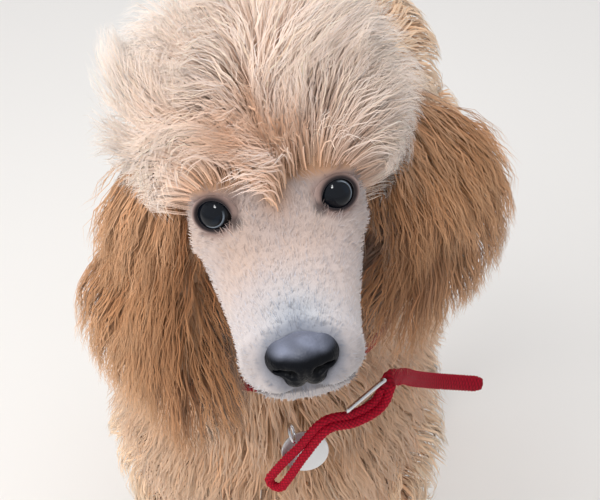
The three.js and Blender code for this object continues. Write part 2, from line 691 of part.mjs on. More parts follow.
const body = makeBody();
const above = (point, line) => sideOf(point, line, GAP / 2);
const below = (point, line) => sideOf(point, line.clone().negate(), GAP / 2);
const tailLine = vec(0, 0.5, 0.86);
const stemRoom = tailForm.solid(10, 8, 0, GAP).intersect(sideOf(TAIL_ROOT, tailLine, -GAP / 2));

const tagRing = (margin) => wireRing(RING_CENTRE, vec(0.9, 0.1, 0.3), 5.5, 0.9, margin);
const tagRooms = [ellipsoid(RING_CENTRE.toArray(), 9.5, 9.5, 9.5, 6, 4), tagDisc(TAG_RADIUS + 2, 3, 8)];
const collarRooms = join([collarBand(GAP), strap(GAP), slideBar(GAP), ...tagRooms]);
const neckRooms = join([earRoom(1, 0), earRoom(-1, 0), collarRooms]);
const neckEnds = above(shoulderCut, shoulderLine).intersect(below(headCut, neckLine));
const neckPart = body.intersect(neckEnds);
node("neck", whole(neckPart.subtract(neckRooms)), COAT);

const legRooms = [];
for (const side of [1, -1]) {
  const name = side > 0 ? "left" : "right";
  const near = Math.min(side * 14, side * 240);
  const far = Math.max(side * 14, side * 240);
  const margin = GAP / 2;
  const fore = (low, high, m) => block([near - m, -275 - m, low - m], [far + m, -80 + m, high + m]);
  const hind = (low, high, m) => block([near - m, 95 - m, low - m], [far + m, 420 + m, high + m]);
  legRooms.push(fore(-20, ELBOW_CUT, margin), hind(-20, FLANK_CUT, margin));
  node("foreleg_" + name, whole(body.intersect(fore(FOOT_TOP, ELBOW_CUT, -margin))), COAT);
  node("thigh_" + name, whole(body.intersect(hind(HOCK_CUT, FLANK_CUT, -margin))), COAT);
  node("hock_" + name, whole(body.intersect(hind(FOOT_TOP, HOCK_CUT, -margin))), COAT);
  const ankles = {
    forefoot: vec(side * FORELEG_X, PASTERN_Y, 0),
    hindfoot: vec(side * HINDLEG_X, HOCK_Y - 6, 0),
  };
  for (const [foot, ankle] of Object.entries(ankles)) {
    node(`${foot}_${name}`, makeFoot(ankle), FACE);
    TOES.forEach((toe, i) => {
      const root = ankle.clone().add(vec(toe.x, toe.y - CLAW_SETBACK - GAP, CLAW_HEIGHT));
      const place = new THREE.Matrix4().setPosition(root);
      node(`claw_${foot}_${name}_${i + 1}`, makeClaw(), CLAW, place);
    });
  }
  node("ear_" + name, makeEar(side), EAR_COAT);
  const eyeFrame = headFrame.clone().multiply(eyePlace(side));
  node("eye_" + name, ellipsoid([0, 0, 0], EYE_RADIUS, EYE_RADIUS, EYE_RADIUS, 10, 8), EYE, eyeFrame);
}
const torsoPart = body.intersect(below(shoulderCut, shoulderLine));
node("torso", whole(torsoPart.subtract(join([...legRooms, stemRoom, collarRooms]))), COAT);
node("head", makeHead(), FACE, headFrame);
node("nose", makeNose(), LEATHER, headFrame);

const stem = tailForm.solid(10, 8).intersect(above(TAIL_ROOT, tailLine));
const pomponCore = POMPON.radii.clone().subScalar(POMPON.coat * (1 - CORE_SHARE));
const pompon = ellipsoid(POMPON.centre.toArray(), pomponCore.x, pomponCore.y, pomponCore.z, 8, 6);
node("tail", whole(join([stem, pompon, ...clumpsRound(POMPON)])), COAT);

const slideRoom = slideBar(GAP);
node("collar_band", whole(collarBand(0).subtract(join([strap(GAP), slideRoom]))), BRAID);
node("collar_strap", whole(strap(0).subtract(join([slideRoom, tagRing(GAP)]))), BRAID);
node("collar_slide", slideBar(0), STEEL);
node("tag_ring", tagRing(0), STEEL);
node("tag", whole(tagDisc(TAG_RADIUS, 1.6, 20).subtract(join([tagRing(GAP), strap(GAP)]))), STEEL);

const dog = new THREE.Group();
for (const { name, made, look, frame } of nodes) {
  const mesh = made.getMesh();
  const count = mesh.numProp;
  const positions = new Float32Array(mesh.numVert * 3);
  for (let i = 0; i < mesh.numVert; i++) {
    positions.set(mesh.vertProperties.subarray(i * count, i * count + 3), i * 3);
  }
  const geometry = new THREE.BufferGeometry();
  geometry.setAttribute("position", new THREE.BufferAttribute(positions, 3));
  geometry.setIndex(new THREE.BufferAttribute(new Uint32Array(mesh.triVerts), 1));
  const piece = new THREE.Mesh(geometry, new THREE.MeshStandardMaterial(look));
  piece.name = name;
  piece.applyMatrix4(frame);
  dog.add(piece);
}

// The origin is on the floor, under the middle of the model
const box = new THREE.Box3().setFromObject(dog);
dog.position.set(-(box.min.x + box.max.x) / 2, -(box.min.y + box.max.y) / 2, -box.min.z);

export default dog;
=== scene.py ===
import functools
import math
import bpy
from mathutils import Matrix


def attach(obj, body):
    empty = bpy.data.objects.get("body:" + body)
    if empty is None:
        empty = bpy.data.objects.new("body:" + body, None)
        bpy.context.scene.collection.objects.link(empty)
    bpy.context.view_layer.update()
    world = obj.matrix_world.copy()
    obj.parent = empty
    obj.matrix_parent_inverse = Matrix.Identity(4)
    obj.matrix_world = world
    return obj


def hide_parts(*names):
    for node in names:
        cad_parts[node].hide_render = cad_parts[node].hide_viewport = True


bl_info = {
    "name": "Standard Poodle, Still Model",
    "version": (1, 0, 0),
    "blender": (4, 5, 0),
    "location": "View3D > Sidebar > Poodle",
    "description": "A young apricot standard poodle with a curly coat, built over its solid parts",
    "category": "Object",
}

from types import SimpleNamespace

import bmesh
import bpy
import numpy as np
from bpy.props import FloatProperty, FloatVectorProperty, IntProperty, PointerProperty
from mathutils import Vector
from mathutils.bvhtree import BVHTree
from mathutils.kdtree import KDTree

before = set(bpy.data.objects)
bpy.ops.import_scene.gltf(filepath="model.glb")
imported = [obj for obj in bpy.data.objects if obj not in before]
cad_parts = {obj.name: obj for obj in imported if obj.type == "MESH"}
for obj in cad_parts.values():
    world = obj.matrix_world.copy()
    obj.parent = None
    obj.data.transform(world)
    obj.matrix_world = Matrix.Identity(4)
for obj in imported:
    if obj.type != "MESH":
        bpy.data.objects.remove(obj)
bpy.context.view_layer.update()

# The forms below are in millimetres in the dog's own frame: -Y ahead, +X its left side, +Z up
MM = 0.001
DOWN = np.array([0.0, 0.0, -1.0])
UP = -DOWN
SIDES = (1, -1)
SIDE_NAMES = {1: "left", -1: "right"}


def linear(text):
    """An sRGB hex colour as linear red, green and blue."""
    srgb = np.array([int(text[i : i + 2], 16) for i in (1, 3, 5)]) / 255
    return np.where(srgb <= 0.04045, srgb / 12.92, ((srgb + 0.055) / 1.055) ** 2.4)


def colour_property(name, text, description):
    return FloatVectorProperty(
        name=name, description=description, default=tuple(linear(text)), subtype="COLOR", size=3, min=0, max=1
    )


def facet_property(name, where, default, low, high):
    """Size of the facets of a skin, in millimetres."""
    described = f"Facet size of {where}, in millimetres"
    return FloatProperty(name=name, description=described, default=default, min=low, max=high)


def tufts_property(name, description, default, low):
    return IntProperty(name=name, description=description, default=default, min=low)


def power_property(name, description, default):
    return FloatProperty(name=name, description=description, default=default, min=0, unit="POWER")


class PoodleSizes(bpy.types.PropertyGroup):
    """Sizes that a maker may change without leaving the solids."""

    body_voxel: facet_property("Body skin mesh", "the body's skin", 5.0, 3, 12)
    head_voxel: facet_property("Head skin mesh", "the head's skin", 1.7, 1, 5)
    foot_voxel: facet_property("Foot skin mesh", "the feet", 2.3, 1, 6)
    topknot_hairs: tufts_property("Topknot tufts", "Tufts on the crown", 12800, 500)
    ear_hairs: tufts_property("Ear tufts", "Tufts on each ear", 4200, 200)
    face_hairs: tufts_property("Face tufts", "Short tufts on the face", 10500, 500)
    neck_hairs: tufts_property("Neck tufts", "Tufts on the neck and breast", 7600, 500)
    body_hairs: tufts_property("Body tufts", "Tufts on the trunk", 7600, 500)
    leg_hairs: tufts_property("Leg tufts", "Tufts on each leg", 2600, 100)
    foot_hairs: tufts_property("Foot tufts", "Short tufts on each foot", 700, 50)
    tail_hairs: tufts_property("Pompon tufts", "Tufts on the tail's pompon", 2000, 100)


class CoatColours(bpy.types.PropertyGroup):
    """Colours of the coat, skin, eyes, nose and claws."""

    silver: colour_property("Silver", "#fff2ea", "Palest hairs on the crown")
    cream: colour_property("Cream", "#fdecdf", "Tips of the topknot and the lightest hair")
    peach: colour_property("Peach", "#f0c8a2", "Middle of the coat's hair")
    blush: colour_property("Blush", "#f8d6bf", "Middle of the topknot's hair")
    apricot: colour_property("Apricot", "#d6a276", "Roots of the coat")
    body_tip: colour_property("Body tips", "#efd3b4", "Tips of the coat of the body")
    chest_tip: colour_property("Breast tips", "#d6b091", "Tips of the coat of the neck and breast")
    ear_dark: colour_property("Ear roots", "#86522f", "Roots of the ears' long hair")
    ear_mid: colour_property("Ear hair", "#c48f62", "Middle of the ears' long hair")
    ear_tip: colour_property("Ear tips", "#dcae84", "Tips of the ears' long hair")
    face: colour_property("Face", "#cabdba", "Short hair of the face")
    muzzle: colour_property("Muzzle", "#c0c5cd", "Pale short hair over the bridge and round the nose")
    muzzle_grey: colour_property("Muzzle grey", "#868c9b", "Thin grey hair that runs up from the nose")
    whisker: colour_property("Dark hairs", "#747988", "Dark hairs above the nose and round the lips")
    # brow is partly tan hair and partly painted shade under the fringe and in the stop between the eyes
    brow: colour_property("Brow", "#cda07a", "Tan hair over the eyes and between them")
    lid: colour_property("Lids", "#221a20", "Dark skin of the lids and lips")
    # lid_soft is partly brownish hair and partly painted shade in the sockets round the eyes
    lid_soft: colour_property("Lid shade", "#93766f", "Brownish hair round the lids")
    # nose_sheen is a painted sheen: the lilac-grey that stands for light reflected off the nose's upward faces
    nose_sheen: colour_property("Nose top", "#74798a", "Dry lilac-grey leather on top of the nose")
    nose: colour_property("Nose", "#06080e", "Leather of the nose")
    # iris_glint is a painted highlight: the pale blue-grey arc that stands for light gathered at the iris's
    # rim
    iris_glint: colour_property("Eye edge", "#8d99a6", "Pale blue-grey ring where the iris meets the white")
    pupil: colour_property("Pupil", "#101d2c", "Middle of the eye")
    iris: colour_property("Iris", "#0c1017", "Ring of the eye")
    claw: colour_property("Claws", "#4a3f3a", "Horn of the claws")


class CollarColours(bpy.types.PropertyGroup):
    """Colours of the collar and its metal."""

    braid: colour_property("Braid", "#dc1638", "Red braid")
    braid_dark: colour_property("Braid shade", "#560514", "Between the braid's strands")
    steel: colour_property("Steel", "#cfd0d3", "Polished steel")
    tag: colour_property("Tag", "#d7d8da", "Brushed face of the tag")


class StudioSettings(bpy.types.PropertyGroup):
    """Camera, light and floor."""

    eye_distance: FloatProperty(
        name="Distance", description="From the camera to the eyes", default=0.75, min=0.3, unit="LENGTH"
    )
    lens: FloatProperty(name="Lens", description="Focal length on a 36 mm frame", default=91.2, min=20)
    key_power: power_property("Key light", "Power of the key light", 40.0)
    fill_power: power_property("Fill", "Power of the fill light", 1.2)
    top_power: power_property("Top", "Power of the top light", 16.0)
    spark_power: power_property("Spark", "Power of the eyes' bright points", 14.0)
    floor: colour_property("Floor", "#eeebe7", "Pale matt floor")
    air: colour_property("Air", "#f2f4f8", "Light that comes from all round")


def sizes():
    return bpy.context.scene.poodle_sizes


def coat_colours():
    """The coat's colours as arrays of linear red, green and blue."""
    group = bpy.context.scene.poodle_coat
    return SimpleNamespace(**{name: np.array(getattr(group, name)) for name in CoatColours.__annotations__})


def collar_colours():
    return bpy.context.scene.poodle_collar


def unit(v):
    return v / np.maximum(np.linalg.norm(v, axis=-1, keepdims=True), 1e-9)


def ease(x, low, high):
    """0 below low, 1 above high, smooth between."""
    s = np.clip((x - low) / (high - low), 0, 1)
    return s * s * (3 - 2 * s)


def mix(a, b, share):
    return a + (b - a) * np.asarray(share)[..., None]


def ripple(points, size, seed):
    """A smooth pattern from about -1 to 1 over places in millimetres, whose patches are about size across."""
    draw = np.random.default_rng(seed)
    waves = unit(draw.normal(size=(9, 3))) * (2 * math.pi / size) * draw.uniform(0.35, 0.8, (9, 1))
    return np.sin(points @ waves.T + draw.uniform(0, 2 * math.pi, 9)).sum(-1) / 3


def ripple_ways(points, size, seed):
    """A way for each place that changes smoothly from place to place."""
    return np.column_stack([ripple(points, size, seed + k) for k in range(3)])


def along_curve(rows, knots, slopes, t):
    """The smooth curve through rows that stand at knots, with the given slopes, at places t along it."""
    i = np.clip(np.searchsorted(knots, t, side="right") - 1, 0, len(knots) - 2)
    span = (knots[i + 1] - knots[i])[:, None]
    u = (t - knots[i])[:, None] / span
    start = (2 * u**3 - 3 * u**2 + 1) * rows[i] + (u**3 - 2 * u**2 + u) * span * slopes[i]
    return start + (3 * u**2 - 2 * u**3) * rows[i + 1] + (u**3 - u**2) * span * slopes[i + 1]


class Form:
    """A smooth form swept through sections.

    Each section is (centre, half width, reach to its top side, reach to its under side, coat, squareness).
    """

    def __init__(self, sections, side=(1, 0, 0)):
        rows = np.array([[*at, *rest, *([0] * (5 - len(rest)))] for at, *rest in sections], float)
        steps = np.linalg.norm(np.diff(rows[:, :3], axis=0), axis=1)
        along = np.concatenate([[0], np.cumsum(steps)])
        self.knots = along / along[-1]
        self.rows = rows
        self.slopes = np.gradient(rows, self.knots, axis=0)
        self.side = np.array(side, float)

    def at(self, t):
        t = np.clip(np.atleast_1d(np.asarray(t, float)), 0, 1)
        return along_curve(self.rows, self.knots, self.slopes, t)

    def axes(self, t):
        step = 0.01
        ahead = unit(self.at(np.asarray(t) + step)[:, :3] - self.at(np.asarray(t) - step)[:, :3])
        side = unit(self.side - ahead * (ahead @ self.side)[:, None])
        return ahead, side, np.cross(side, ahead)

    def point(self, t, angle, out=0.0):
        """The point at an angle round the form, moved out by so much. A quarter turn is the top side."""
        row = self.at(t)
        _, side, top = self.axes(t)
        bend = 1 - 0.5 * row[:, 7]
        across = np.sign(np.cos(angle)) * np.abs(np.cos(angle)) ** bend
        over = np.sign(np.sin(angle)) * np.abs(np.sin(angle)) ** bend
        reach = np.where(over > 0, row[:, 4], row[:, 5])
        spot = row[:, :3] + side * ((row[:, 3] + out) * across)[:, None]
        return spot + top * ((reach + out) * over)[:, None]

    def outward(self, t, angle):
        step = 0.02
        along = self.point(np.minimum(t + step, 1), angle) - self.point(np.maximum(t - step, 0), angle)
        out = unit(np.cross(self.point(t, angle + step) - self.point(t, angle - step), along))
        away = np.sum(out * (self.point(t, angle) - self.at(t)[:, :3]), axis=1) < 0
        return np.where(away[:, None], -out, out)


def mirrored(sections, side):
    return [((side * at[0], at[1], at[2]), *rest) for at, *rest in sections]


# Trunk, neck, legs and tail, as the solids have them: centre, half width, top, under, coat, squareness
BODY_LENGTH = 556
HALF_BODY = BODY_LENGTH / 2
WITHERS = 560
CHEST = 82
FORELEG_X, HINDLEG_X = 68, 74
PASTERN_Y, HOCK_Y = -184, 298
FOOT_TOP = 54
TORSO = Form(
    [
        ((0, -HALF_BODY + 4, 438), 18, 26, 28, 40),
        ((0, -HALF_BODY + 34, 444), 58, 66, 84, 46),
        ((0, -190, 454), 76, 98, 114, 46),
        ((0, -110, 452), CHEST, WITHERS - 454, 116, 42),
        ((0, -20, 450), CHEST + 2, 98, 106, 38),
        ((0, 80, 460), 76, 86, 82, 36),
        ((0, 160, 470), 70, 78, 62, 36),
        ((0, 225, 474), 70, 66, 60, 34),
        ((0, HALF_BODY - 16, 474), 50, 42, 42, 32),
        ((0, HALF_BODY + 2, 472), 14, 12, 14, 30),
    ]
)
HEAD_ASIDE = 30
NECK = Form(
    [
        ((0, -180, 452), 62, 78, 78, 42),
        ((0.15 * HEAD_ASIDE, -226, 535), 58, 68, 66, 46),
        ((0.42 * HEAD_ASIDE, -262, 602), 52, 58, 56, 42),
        ((0.58 * HEAD_ASIDE, -292, 652), 46, 50, 50, 32),
        ((0.63 * HEAD_ASIDE, -318, 696), 40, 46, 40, 24),
        ((0.57 * HEAD_ASIDE, -336, 730), 20, 20, 20, 20),
    ]
)
FORELEG_SECTIONS = [
    ((FORELEG_X, PASTERN_Y, 38), 17, 17, 17, 16),
    ((FORELEG_X, PASTERN_Y + 4, 70), 17, 17, 17, 24),
    ((FORELEG_X, PASTERN_Y + 14, 130), 19, 19, 19, 29),
    ((FORELEG_X, PASTERN_Y + 24, 210), 20, 22, 22, 30),
    ((FORELEG_X, PASTERN_Y + 30, 300), 26, 34, 34, 31),
    ((FORELEG_X - 3, PASTERN_Y + 19, 385), 34, 50, 44, 32),
    ((FORELEG_X - 10, PASTERN_Y + 4, 440), 20, 30, 28, 28),
]
HINDLEG_SECTIONS = [
    ((HINDLEG_X, HOCK_Y - 4, 38), 16, 17, 17, 16),
    ((HINDLEG_X, HOCK_Y + 2, 75), 16, 17, 17, 24),
    ((HINDLEG_X, HOCK_Y + 4, 125), 18, 19, 20, 27),
    ((HINDLEG_X, HOCK_Y - 14, 180), 20, 22, 24, 28),
    ((HINDLEG_X, HOCK_Y - 60, 245), 25, 28, 34, 29),
    ((HINDLEG_X, HOCK_Y - 98, 312), 34, 48, 54, 30),
    ((HINDLEG_X - 4, HOCK_Y - 106, 390), 42, 68, 66, 32),
    ((HINDLEG_X - 14, HOCK_Y - 102, 455), 32, 44, 46, 30),
]
LEGS = {("foreleg", side): Form(mirrored(FORELEG_SECTIONS, side)) for side in SIDES}
LEGS |= {("hindleg", side): Form(mirrored(HINDLEG_SECTIONS, side)) for side in SIDES}
TAIL = Form(
    [
        ((0, 228, 494), 14, 14, 14),
        ((0, 262, 552), 15, 15, 15),
        ((0, 281, 604), 13, 13, 13),
        ((0, 290, 662), 11, 11, 11),
        ((0, 292, 692), 6, 6, 6),
    ]
)
POMPON_CENTRE = np.array([0, 291, 696.0])
POMPON_RADII = np.array([62, 62, 68.0])
POMPON_COAT = 44

# The head's own frame: its origin is midway between the eyes, with -Y along the muzzle
TURN, LIFT, TILT, GAZE_LIFT = (math.radians(a) for a in (8, 8, 9.2, 33))
POLL = np.array([HEAD_ASIDE - 10, -312, 680.0])
POLL_IN_HEAD = np.array([0, 95, -30.0])
EYE_SPACING = 57
EYE_RADIUS = 11
EYE_OPENING = (9.2, 8.0)
EYE_SETBACK = 4
EYE_OUTWARD, EYE_UPWARD = math.radians(20), math.radians(14)
NOSE_REACH = 104
NOSE_WIDTH = 34


def turned(axis, angle):
    """The matrix that turns by an angle about an axis."""
    x, y, z = unit(np.asarray(axis, float))
    cross = np.array([[0, -z, y], [z, 0, -x], [-y, x, 0]])
    return np.eye(3) + math.sin(angle) * cross + (1 - math.cos(angle)) * cross @ cross


HANG_LEFT = np.array([math.cos(TURN), math.sin(TURN), 0])
HANG_BACK = np.array([-math.sin(TURN), math.cos(TURN), 0])
HEAD_BACK = HANG_BACK * math.cos(LIFT) + DOWN * math.sin(LIFT)
GAZE = unit(-HANG_BACK * math.cos(GAZE_LIFT) + UP * math.sin(GAZE_LIFT))
HEAD = turned(GAZE, TILT) @ np.column_stack([HANG_LEFT, HEAD_BACK, np.cross(HANG_LEFT, HEAD_BACK)])
HEAD_ORIGIN = POLL - HEAD @ POLL_IN_HEAD


def from_head(points):
    return np.asarray(points) @ HEAD.T + HEAD_ORIGIN


def to_head(points):
    return (points - HEAD_ORIGIN) @ HEAD


SKULL = Form(
    [
        ((0, -NOSE_REACH + 9, -39), 16, 11, 10),
        ((0, -NOSE_REACH + 15, -39), 25, 16, 14.5, 0, 0.2),
        ((0, -70, -39), 28.5, 18.5, 17, 0, 0.3),
        ((0, -40, -38), 31.5, 21, 20, 0, 0.3),
        ((0, -14, -31), 36, 21, 28, 0, 0.2),
        ((0, 14, -16), 43, 31, 42, 0, 0.1),
        ((0, 50, -4), 48, 42, 50),
        ((0, 86, 0), 44, 36, 44),
        ((0, 108, 0), 22, 20, 24),
    ]
)
JAW = Form(
    [
        ((0, -NOSE_REACH + 14, -51), 7, 4, 4),
        ((0, -NOSE_REACH + 19, -51), 18, 7, 8, 0, 0.2),
        ((0, -62, -52), 22, 9, 9.5, 0, 0.2),
        ((0, -26, -50), 27, 13, 13),
        ((0, 14, -44), 36, 18, 22),
        ((0, 60, -36), 30, 16, 20),
    ]
)
TOPKNOT_CENTRE = np.array([0, 56, 32.0])
TOPKNOT_RADII = np.array([85, 74, 84.0])
TOPKNOT_COAT = 46
NOSE_CENTRE = np.array([0, -NOSE_REACH + 13.5, -34])
NOSE_VOXEL = 0.7

# Ears: broad flaps that hang straight down, whatever way the head tilts
EAR_LENGTH = {1: 136, -1: 146}
EAR_SWING = {1: 26, -1: 0}
EAR_SETBACK = {1: 16, -1: -12}
EAR_SPREAD = {1: 26, -1: -7}
EAR_TWIST = 1.0
EAR_SECTIONS = [
    ((2, 6, 20), 16, 7, 7, 14),
    ((15, 5, -6), 29, 9, 9, 18),
    ((24, 4, -38), 38, 10, 10, 19),
    ((27, 2, -74), 41, 10, 10, 19),
    ((24, 0, -104), 32, 8, 8, 17),
    ((20, -1, -124), 11, 4, 4, 14),
]


def ear_form(side):
    base = from_head([side * 44, 50, -2]) + HANG_BACK * EAR_SETBACK[side]
    sections = []
    for (out, back, up), *rest in EAR_SECTIONS:
        spread = side * (out + EAR_SPREAD[side] * min(1, (12 - up) / 50))
        swing = EAR_SWING[side] * max(0, (12 - up) / 136)
        at = base + HANG_LEFT * spread + HANG_BACK * (back + swing) + UP * up * EAR_LENGTH[side] / 140
        sections.append((tuple(at), *rest))
    return Form(sections, unit(HANG_LEFT * side + HANG_BACK * EAR_TWIST) * side)


EARS = {side: ear_form(side) for side in SIDES}


def eye_axes(side):
    """The eye's place and the way it looks, in the dog's frame, with its own right and up."""
    turn = turned([0, 0, 1], side * EYE_OUTWARD) @ turned([1, 0, 0], -EYE_UPWARD)
    centre = from_head([side * EYE_SPACING / 2, EYE_SETBACK, 0])
    right, back, up = (HEAD @ turn).T
    return centre, -back, right, up


def vertex_mean(name):
    places = np.array([v.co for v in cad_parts[name].data.vertices])
    return (places.min(0) + places.max(0)) / 2


# The dog's frame is set in the shared frame by the middles of its two eyes
EYES_MIDDLE = (eye_axes(1)[0] + eye_axes(-1)[0]) / 2
SHIFT = (vertex_mean("eye_left") + vertex_mean("eye_right")) / 2 - EYES_MIDDLE * MM


def in_frame(points):
    """Places in millimetres in the dog's frame as metres in the shared frame."""
    return np.asarray(points) * MM + SHIFT


# Small tools for meshes


def new_object(name, mesh):
    piece = bpy.data.objects.new(name, mesh)
    bpy.context.scene.collection.objects.link(piece)
    return piece


def vertices_of(mesh):
    places = np.empty(len(mesh.vertices) * 3)
    mesh.vertices.foreach_get("co", places)
    return places.reshape(-1, 3)


def normals_of(mesh):
    ways = np.empty(len(mesh.vertices) * 3, np.float32)
    mesh.vertex_normals.foreach_get("vector", ways)
    return ways.reshape(-1, 3).astype(float)


def mesh_from(bm, name):
    """The bmesh as a mesh; the bmesh is freed."""
    mesh = bpy.data.meshes.new(name)
    bm.to_mesh(mesh)
    bm.free()
    return mesh


def search_tree(places):
    tree = KDTree(len(places))
    for i, spot in enumerate(places):
        tree.insert(spot, i)
    tree.balance()
    return tree


def set_vertices(mesh, places):
    mesh.vertices.foreach_set("co", np.asarray(places, np.float32).ravel())
    mesh.update()


def set_tint(mesh, colours):
    """A colour for each vertex, which the coat and skin materials read."""
    layer = mesh.color_attributes.new("tint", "FLOAT_COLOR", "POINT")
    filled = np.ones((len(mesh.vertices), 4), np.float32)
    filled[:, :3] = np.clip(colours, 0, 1)
    layer.data.foreach_set("color", filled.ravel())


def add_ball(bm, sides, rings, place):
    """A round ball in the bmesh, its points moved by place(share from pole to pole, angle round)."""
    ball = bmesh.ops.create_uvsphere(bm, u_segments=sides, v_segments=rings, radius=1)["verts"]
    start = np.array([v.co for v in ball])
    share = np.arccos(np.clip(start[:, 2], -1, 1)) / math.pi
    for vertex, spot in zip(ball, place(share, np.arctan2(start[:, 1], start[:, 0]))):
        vertex.co = spot


def add_form(bm, form, sides, rings, grow=0.0):
    def place(share, angle):
        spots = form.point(share, angle, grow)
        pole = (share < 1e-5) | (share > 1 - 1e-5)
        spots[pole] = form.at(share[pole])[:, :3]
        return spots

    add_ball(bm, sides, rings, place)


def add_ellipsoid(bm, centre, radii, sides=24, rings=16):
    def place(share, angle):
        level = np.sin(math.pi * share)
        way = np.column_stack([level * np.cos(angle), level * np.sin(angle), np.cos(math.pi * share)])
        return np.asarray(centre) + way * np.asarray(radii)

    add_ball(bm, sides, rings, place)


def melted(bm, voxel, smoothing):
    """The balls of a bmesh run together into one closed, smoothed mesh with facets of the voxel's size."""
    bmesh.ops.recalc_face_normals(bm, faces=bm.faces)
    mesh = mesh_from(bm, "melting")
    piece = new_object("melting", mesh)
    remesh = piece.modifiers.new("run together", "REMESH")
    remesh.mode = "VOXEL"
    remesh.voxel_size = voxel
    smooth = piece.modifiers.new("smooth", "SMOOTH")
    smooth.factor = 0.5
    smooth.iterations = smoothing
    bpy.context.view_layer.update()
    done = bpy.data.meshes.new_from_object(piece.evaluated_get(bpy.context.evaluated_depsgraph_get()))
    bpy.data.objects.remove(piece)
    bpy.data.meshes.remove(mesh)
    return done


def node_in(tree, kind, links=None, **values):
    """Adds a node, sets its values and inputs, and links the sockets given by name."""
    made = tree.nodes.new(kind)
    for name, value in values.items():
        if hasattr(made, name):
            setattr(made, name, value)
        else:
            made.inputs[name.replace("_", " ")].default_value = value
    for name, source in (links or {}).items():
        tree.links.new(source, made.inputs[name])
    return made


def new_material(name):
    material = bpy.data.materials.new(name)
    material.use_nodes = True
    material.node_tree.nodes.clear()
    return material, material.node_tree


def finish_surface(tree, links, **values):
    """The principled shader with its inputs set by name, and the material's output."""
    shader = tree.nodes.new("ShaderNodeBsdfPrincipled")
    for name, value in values.items():
        shader.inputs[name.replace("_", " ")].default_value = value
    for name, source in links.items():
        tree.links.new(source, shader.inputs[name])
    out = tree.nodes.new("ShaderNodeOutputMaterial")
    tree.links.new(shader.outputs[0], out.inputs[0])


@functools.cache
def hair_material():
    """Dog hair: keratin with a soft broad gloss and a little bloom where it turns away."""
    material, tree = new_material("poodle_hair")
    tint = node_in(tree, "ShaderNodeVertexColor", layer_name="tint")
    finish_surface(
        tree,
        {"Base Color": tint.outputs["Color"]},
        Roughness=0.68,
        IOR=1.55,
        Specular_IOR_Level=0.2,
        Diffuse_Roughness=1.0,
        Sheen_Weight=0.3,
        Sheen_Roughness=0.5,
    )
    return material


@functools.cache
def skin_material():
    """Skin under very short plush hair: matt, with a fine grain of hair ends."""
    material, tree = new_material("poodle_skin")
    place = node_in(tree, "ShaderNodeTexCoord")
    tint = node_in(tree, "ShaderNodeVertexColor", layer_name="tint")
    # Hair ends about 0.7 mm apart
    object_place = {"Vector": place.outputs["Object"]}
    grain = node_in(tree, "ShaderNodeTexNoise", object_place, Scale=1 / (0.7 * MM), Detail=2.0)
    shaded_by = {0: grain.outputs["Fac"], 6: tint.outputs["Color"]}
    shade = node_in(tree, "ShaderNodeMix", shaded_by, data_type="RGBA", blend_type="MULTIPLY")
    shade.inputs[7].default_value = (0.86, 0.83, 0.8, 1)
    bump = node_in(tree, "ShaderNodeBump", {"Height": grain.outputs["Fac"]}, Strength=0.35, Distance=0.3 * MM)
    finish_surface(
        tree,
        {"Base Color": shade.outputs[2], "Normal": bump.outputs["Normal"]},
        Roughness=0.75,
        IOR=1.45,
        Specular_IOR_Level=0.2,
        Diffuse_Roughness=1.0,
        Sheen_Weight=0.2,
        Sheen_Roughness=0.5,
    )
    return material


def keep(piece, material, slot, *nodes):
    """Gives a finished piece its material and its place on the body, and hides the solid parts of the nodes
    that it stands for.
    """
    piece.data.materials.clear()
    piece.data.materials.append(material)
    piece.data.shade_smooth()
    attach(piece, "root")
    if nodes:
        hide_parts(*nodes)


# Skin


@functools.cache
def body_skin():
    """Trunk, neck, legs, ears and tail without their coat, in one closed mesh."""
    bm = bmesh.new()
    add_form(bm, TORSO, 40, 40)
    add_form(bm, NECK, 36, 24)
    add_form(bm, TAIL, 20, 24)
    add_ellipsoid(bm, POMPON_CENTRE, POMPON_RADII - POMPON_COAT)
    for form in LEGS.values():
        add_form(bm, form, 28, 36)
    for form in EARS.values():
        add_form(bm, form, 32, 28, -1.5)
    return melted(bm, sizes().body_voxel, 4)


@functools.cache
def mouth_path():
    """The line between the lips, from one corner round the front to the other, in the head's frame."""
    across = np.linspace(-1, 1, 81)
    t = 0.03 + 0.3 * np.abs(across) ** 1.6
    dip = np.radians(-54 + 18 * np.abs(across))
    spots = SKULL.point(t, np.where(across < 0, math.pi - dip, dip), 0.5)
    front = 1 - ease(np.abs(across), 0, 0.2)
    return mix(spots, np.array([0, -NOSE_REACH + 9.5, -50.5]), front)


def distance_to_path(places, path):
    tree = search_tree(path)
    return np.array([tree.find(p)[2] for p in places])


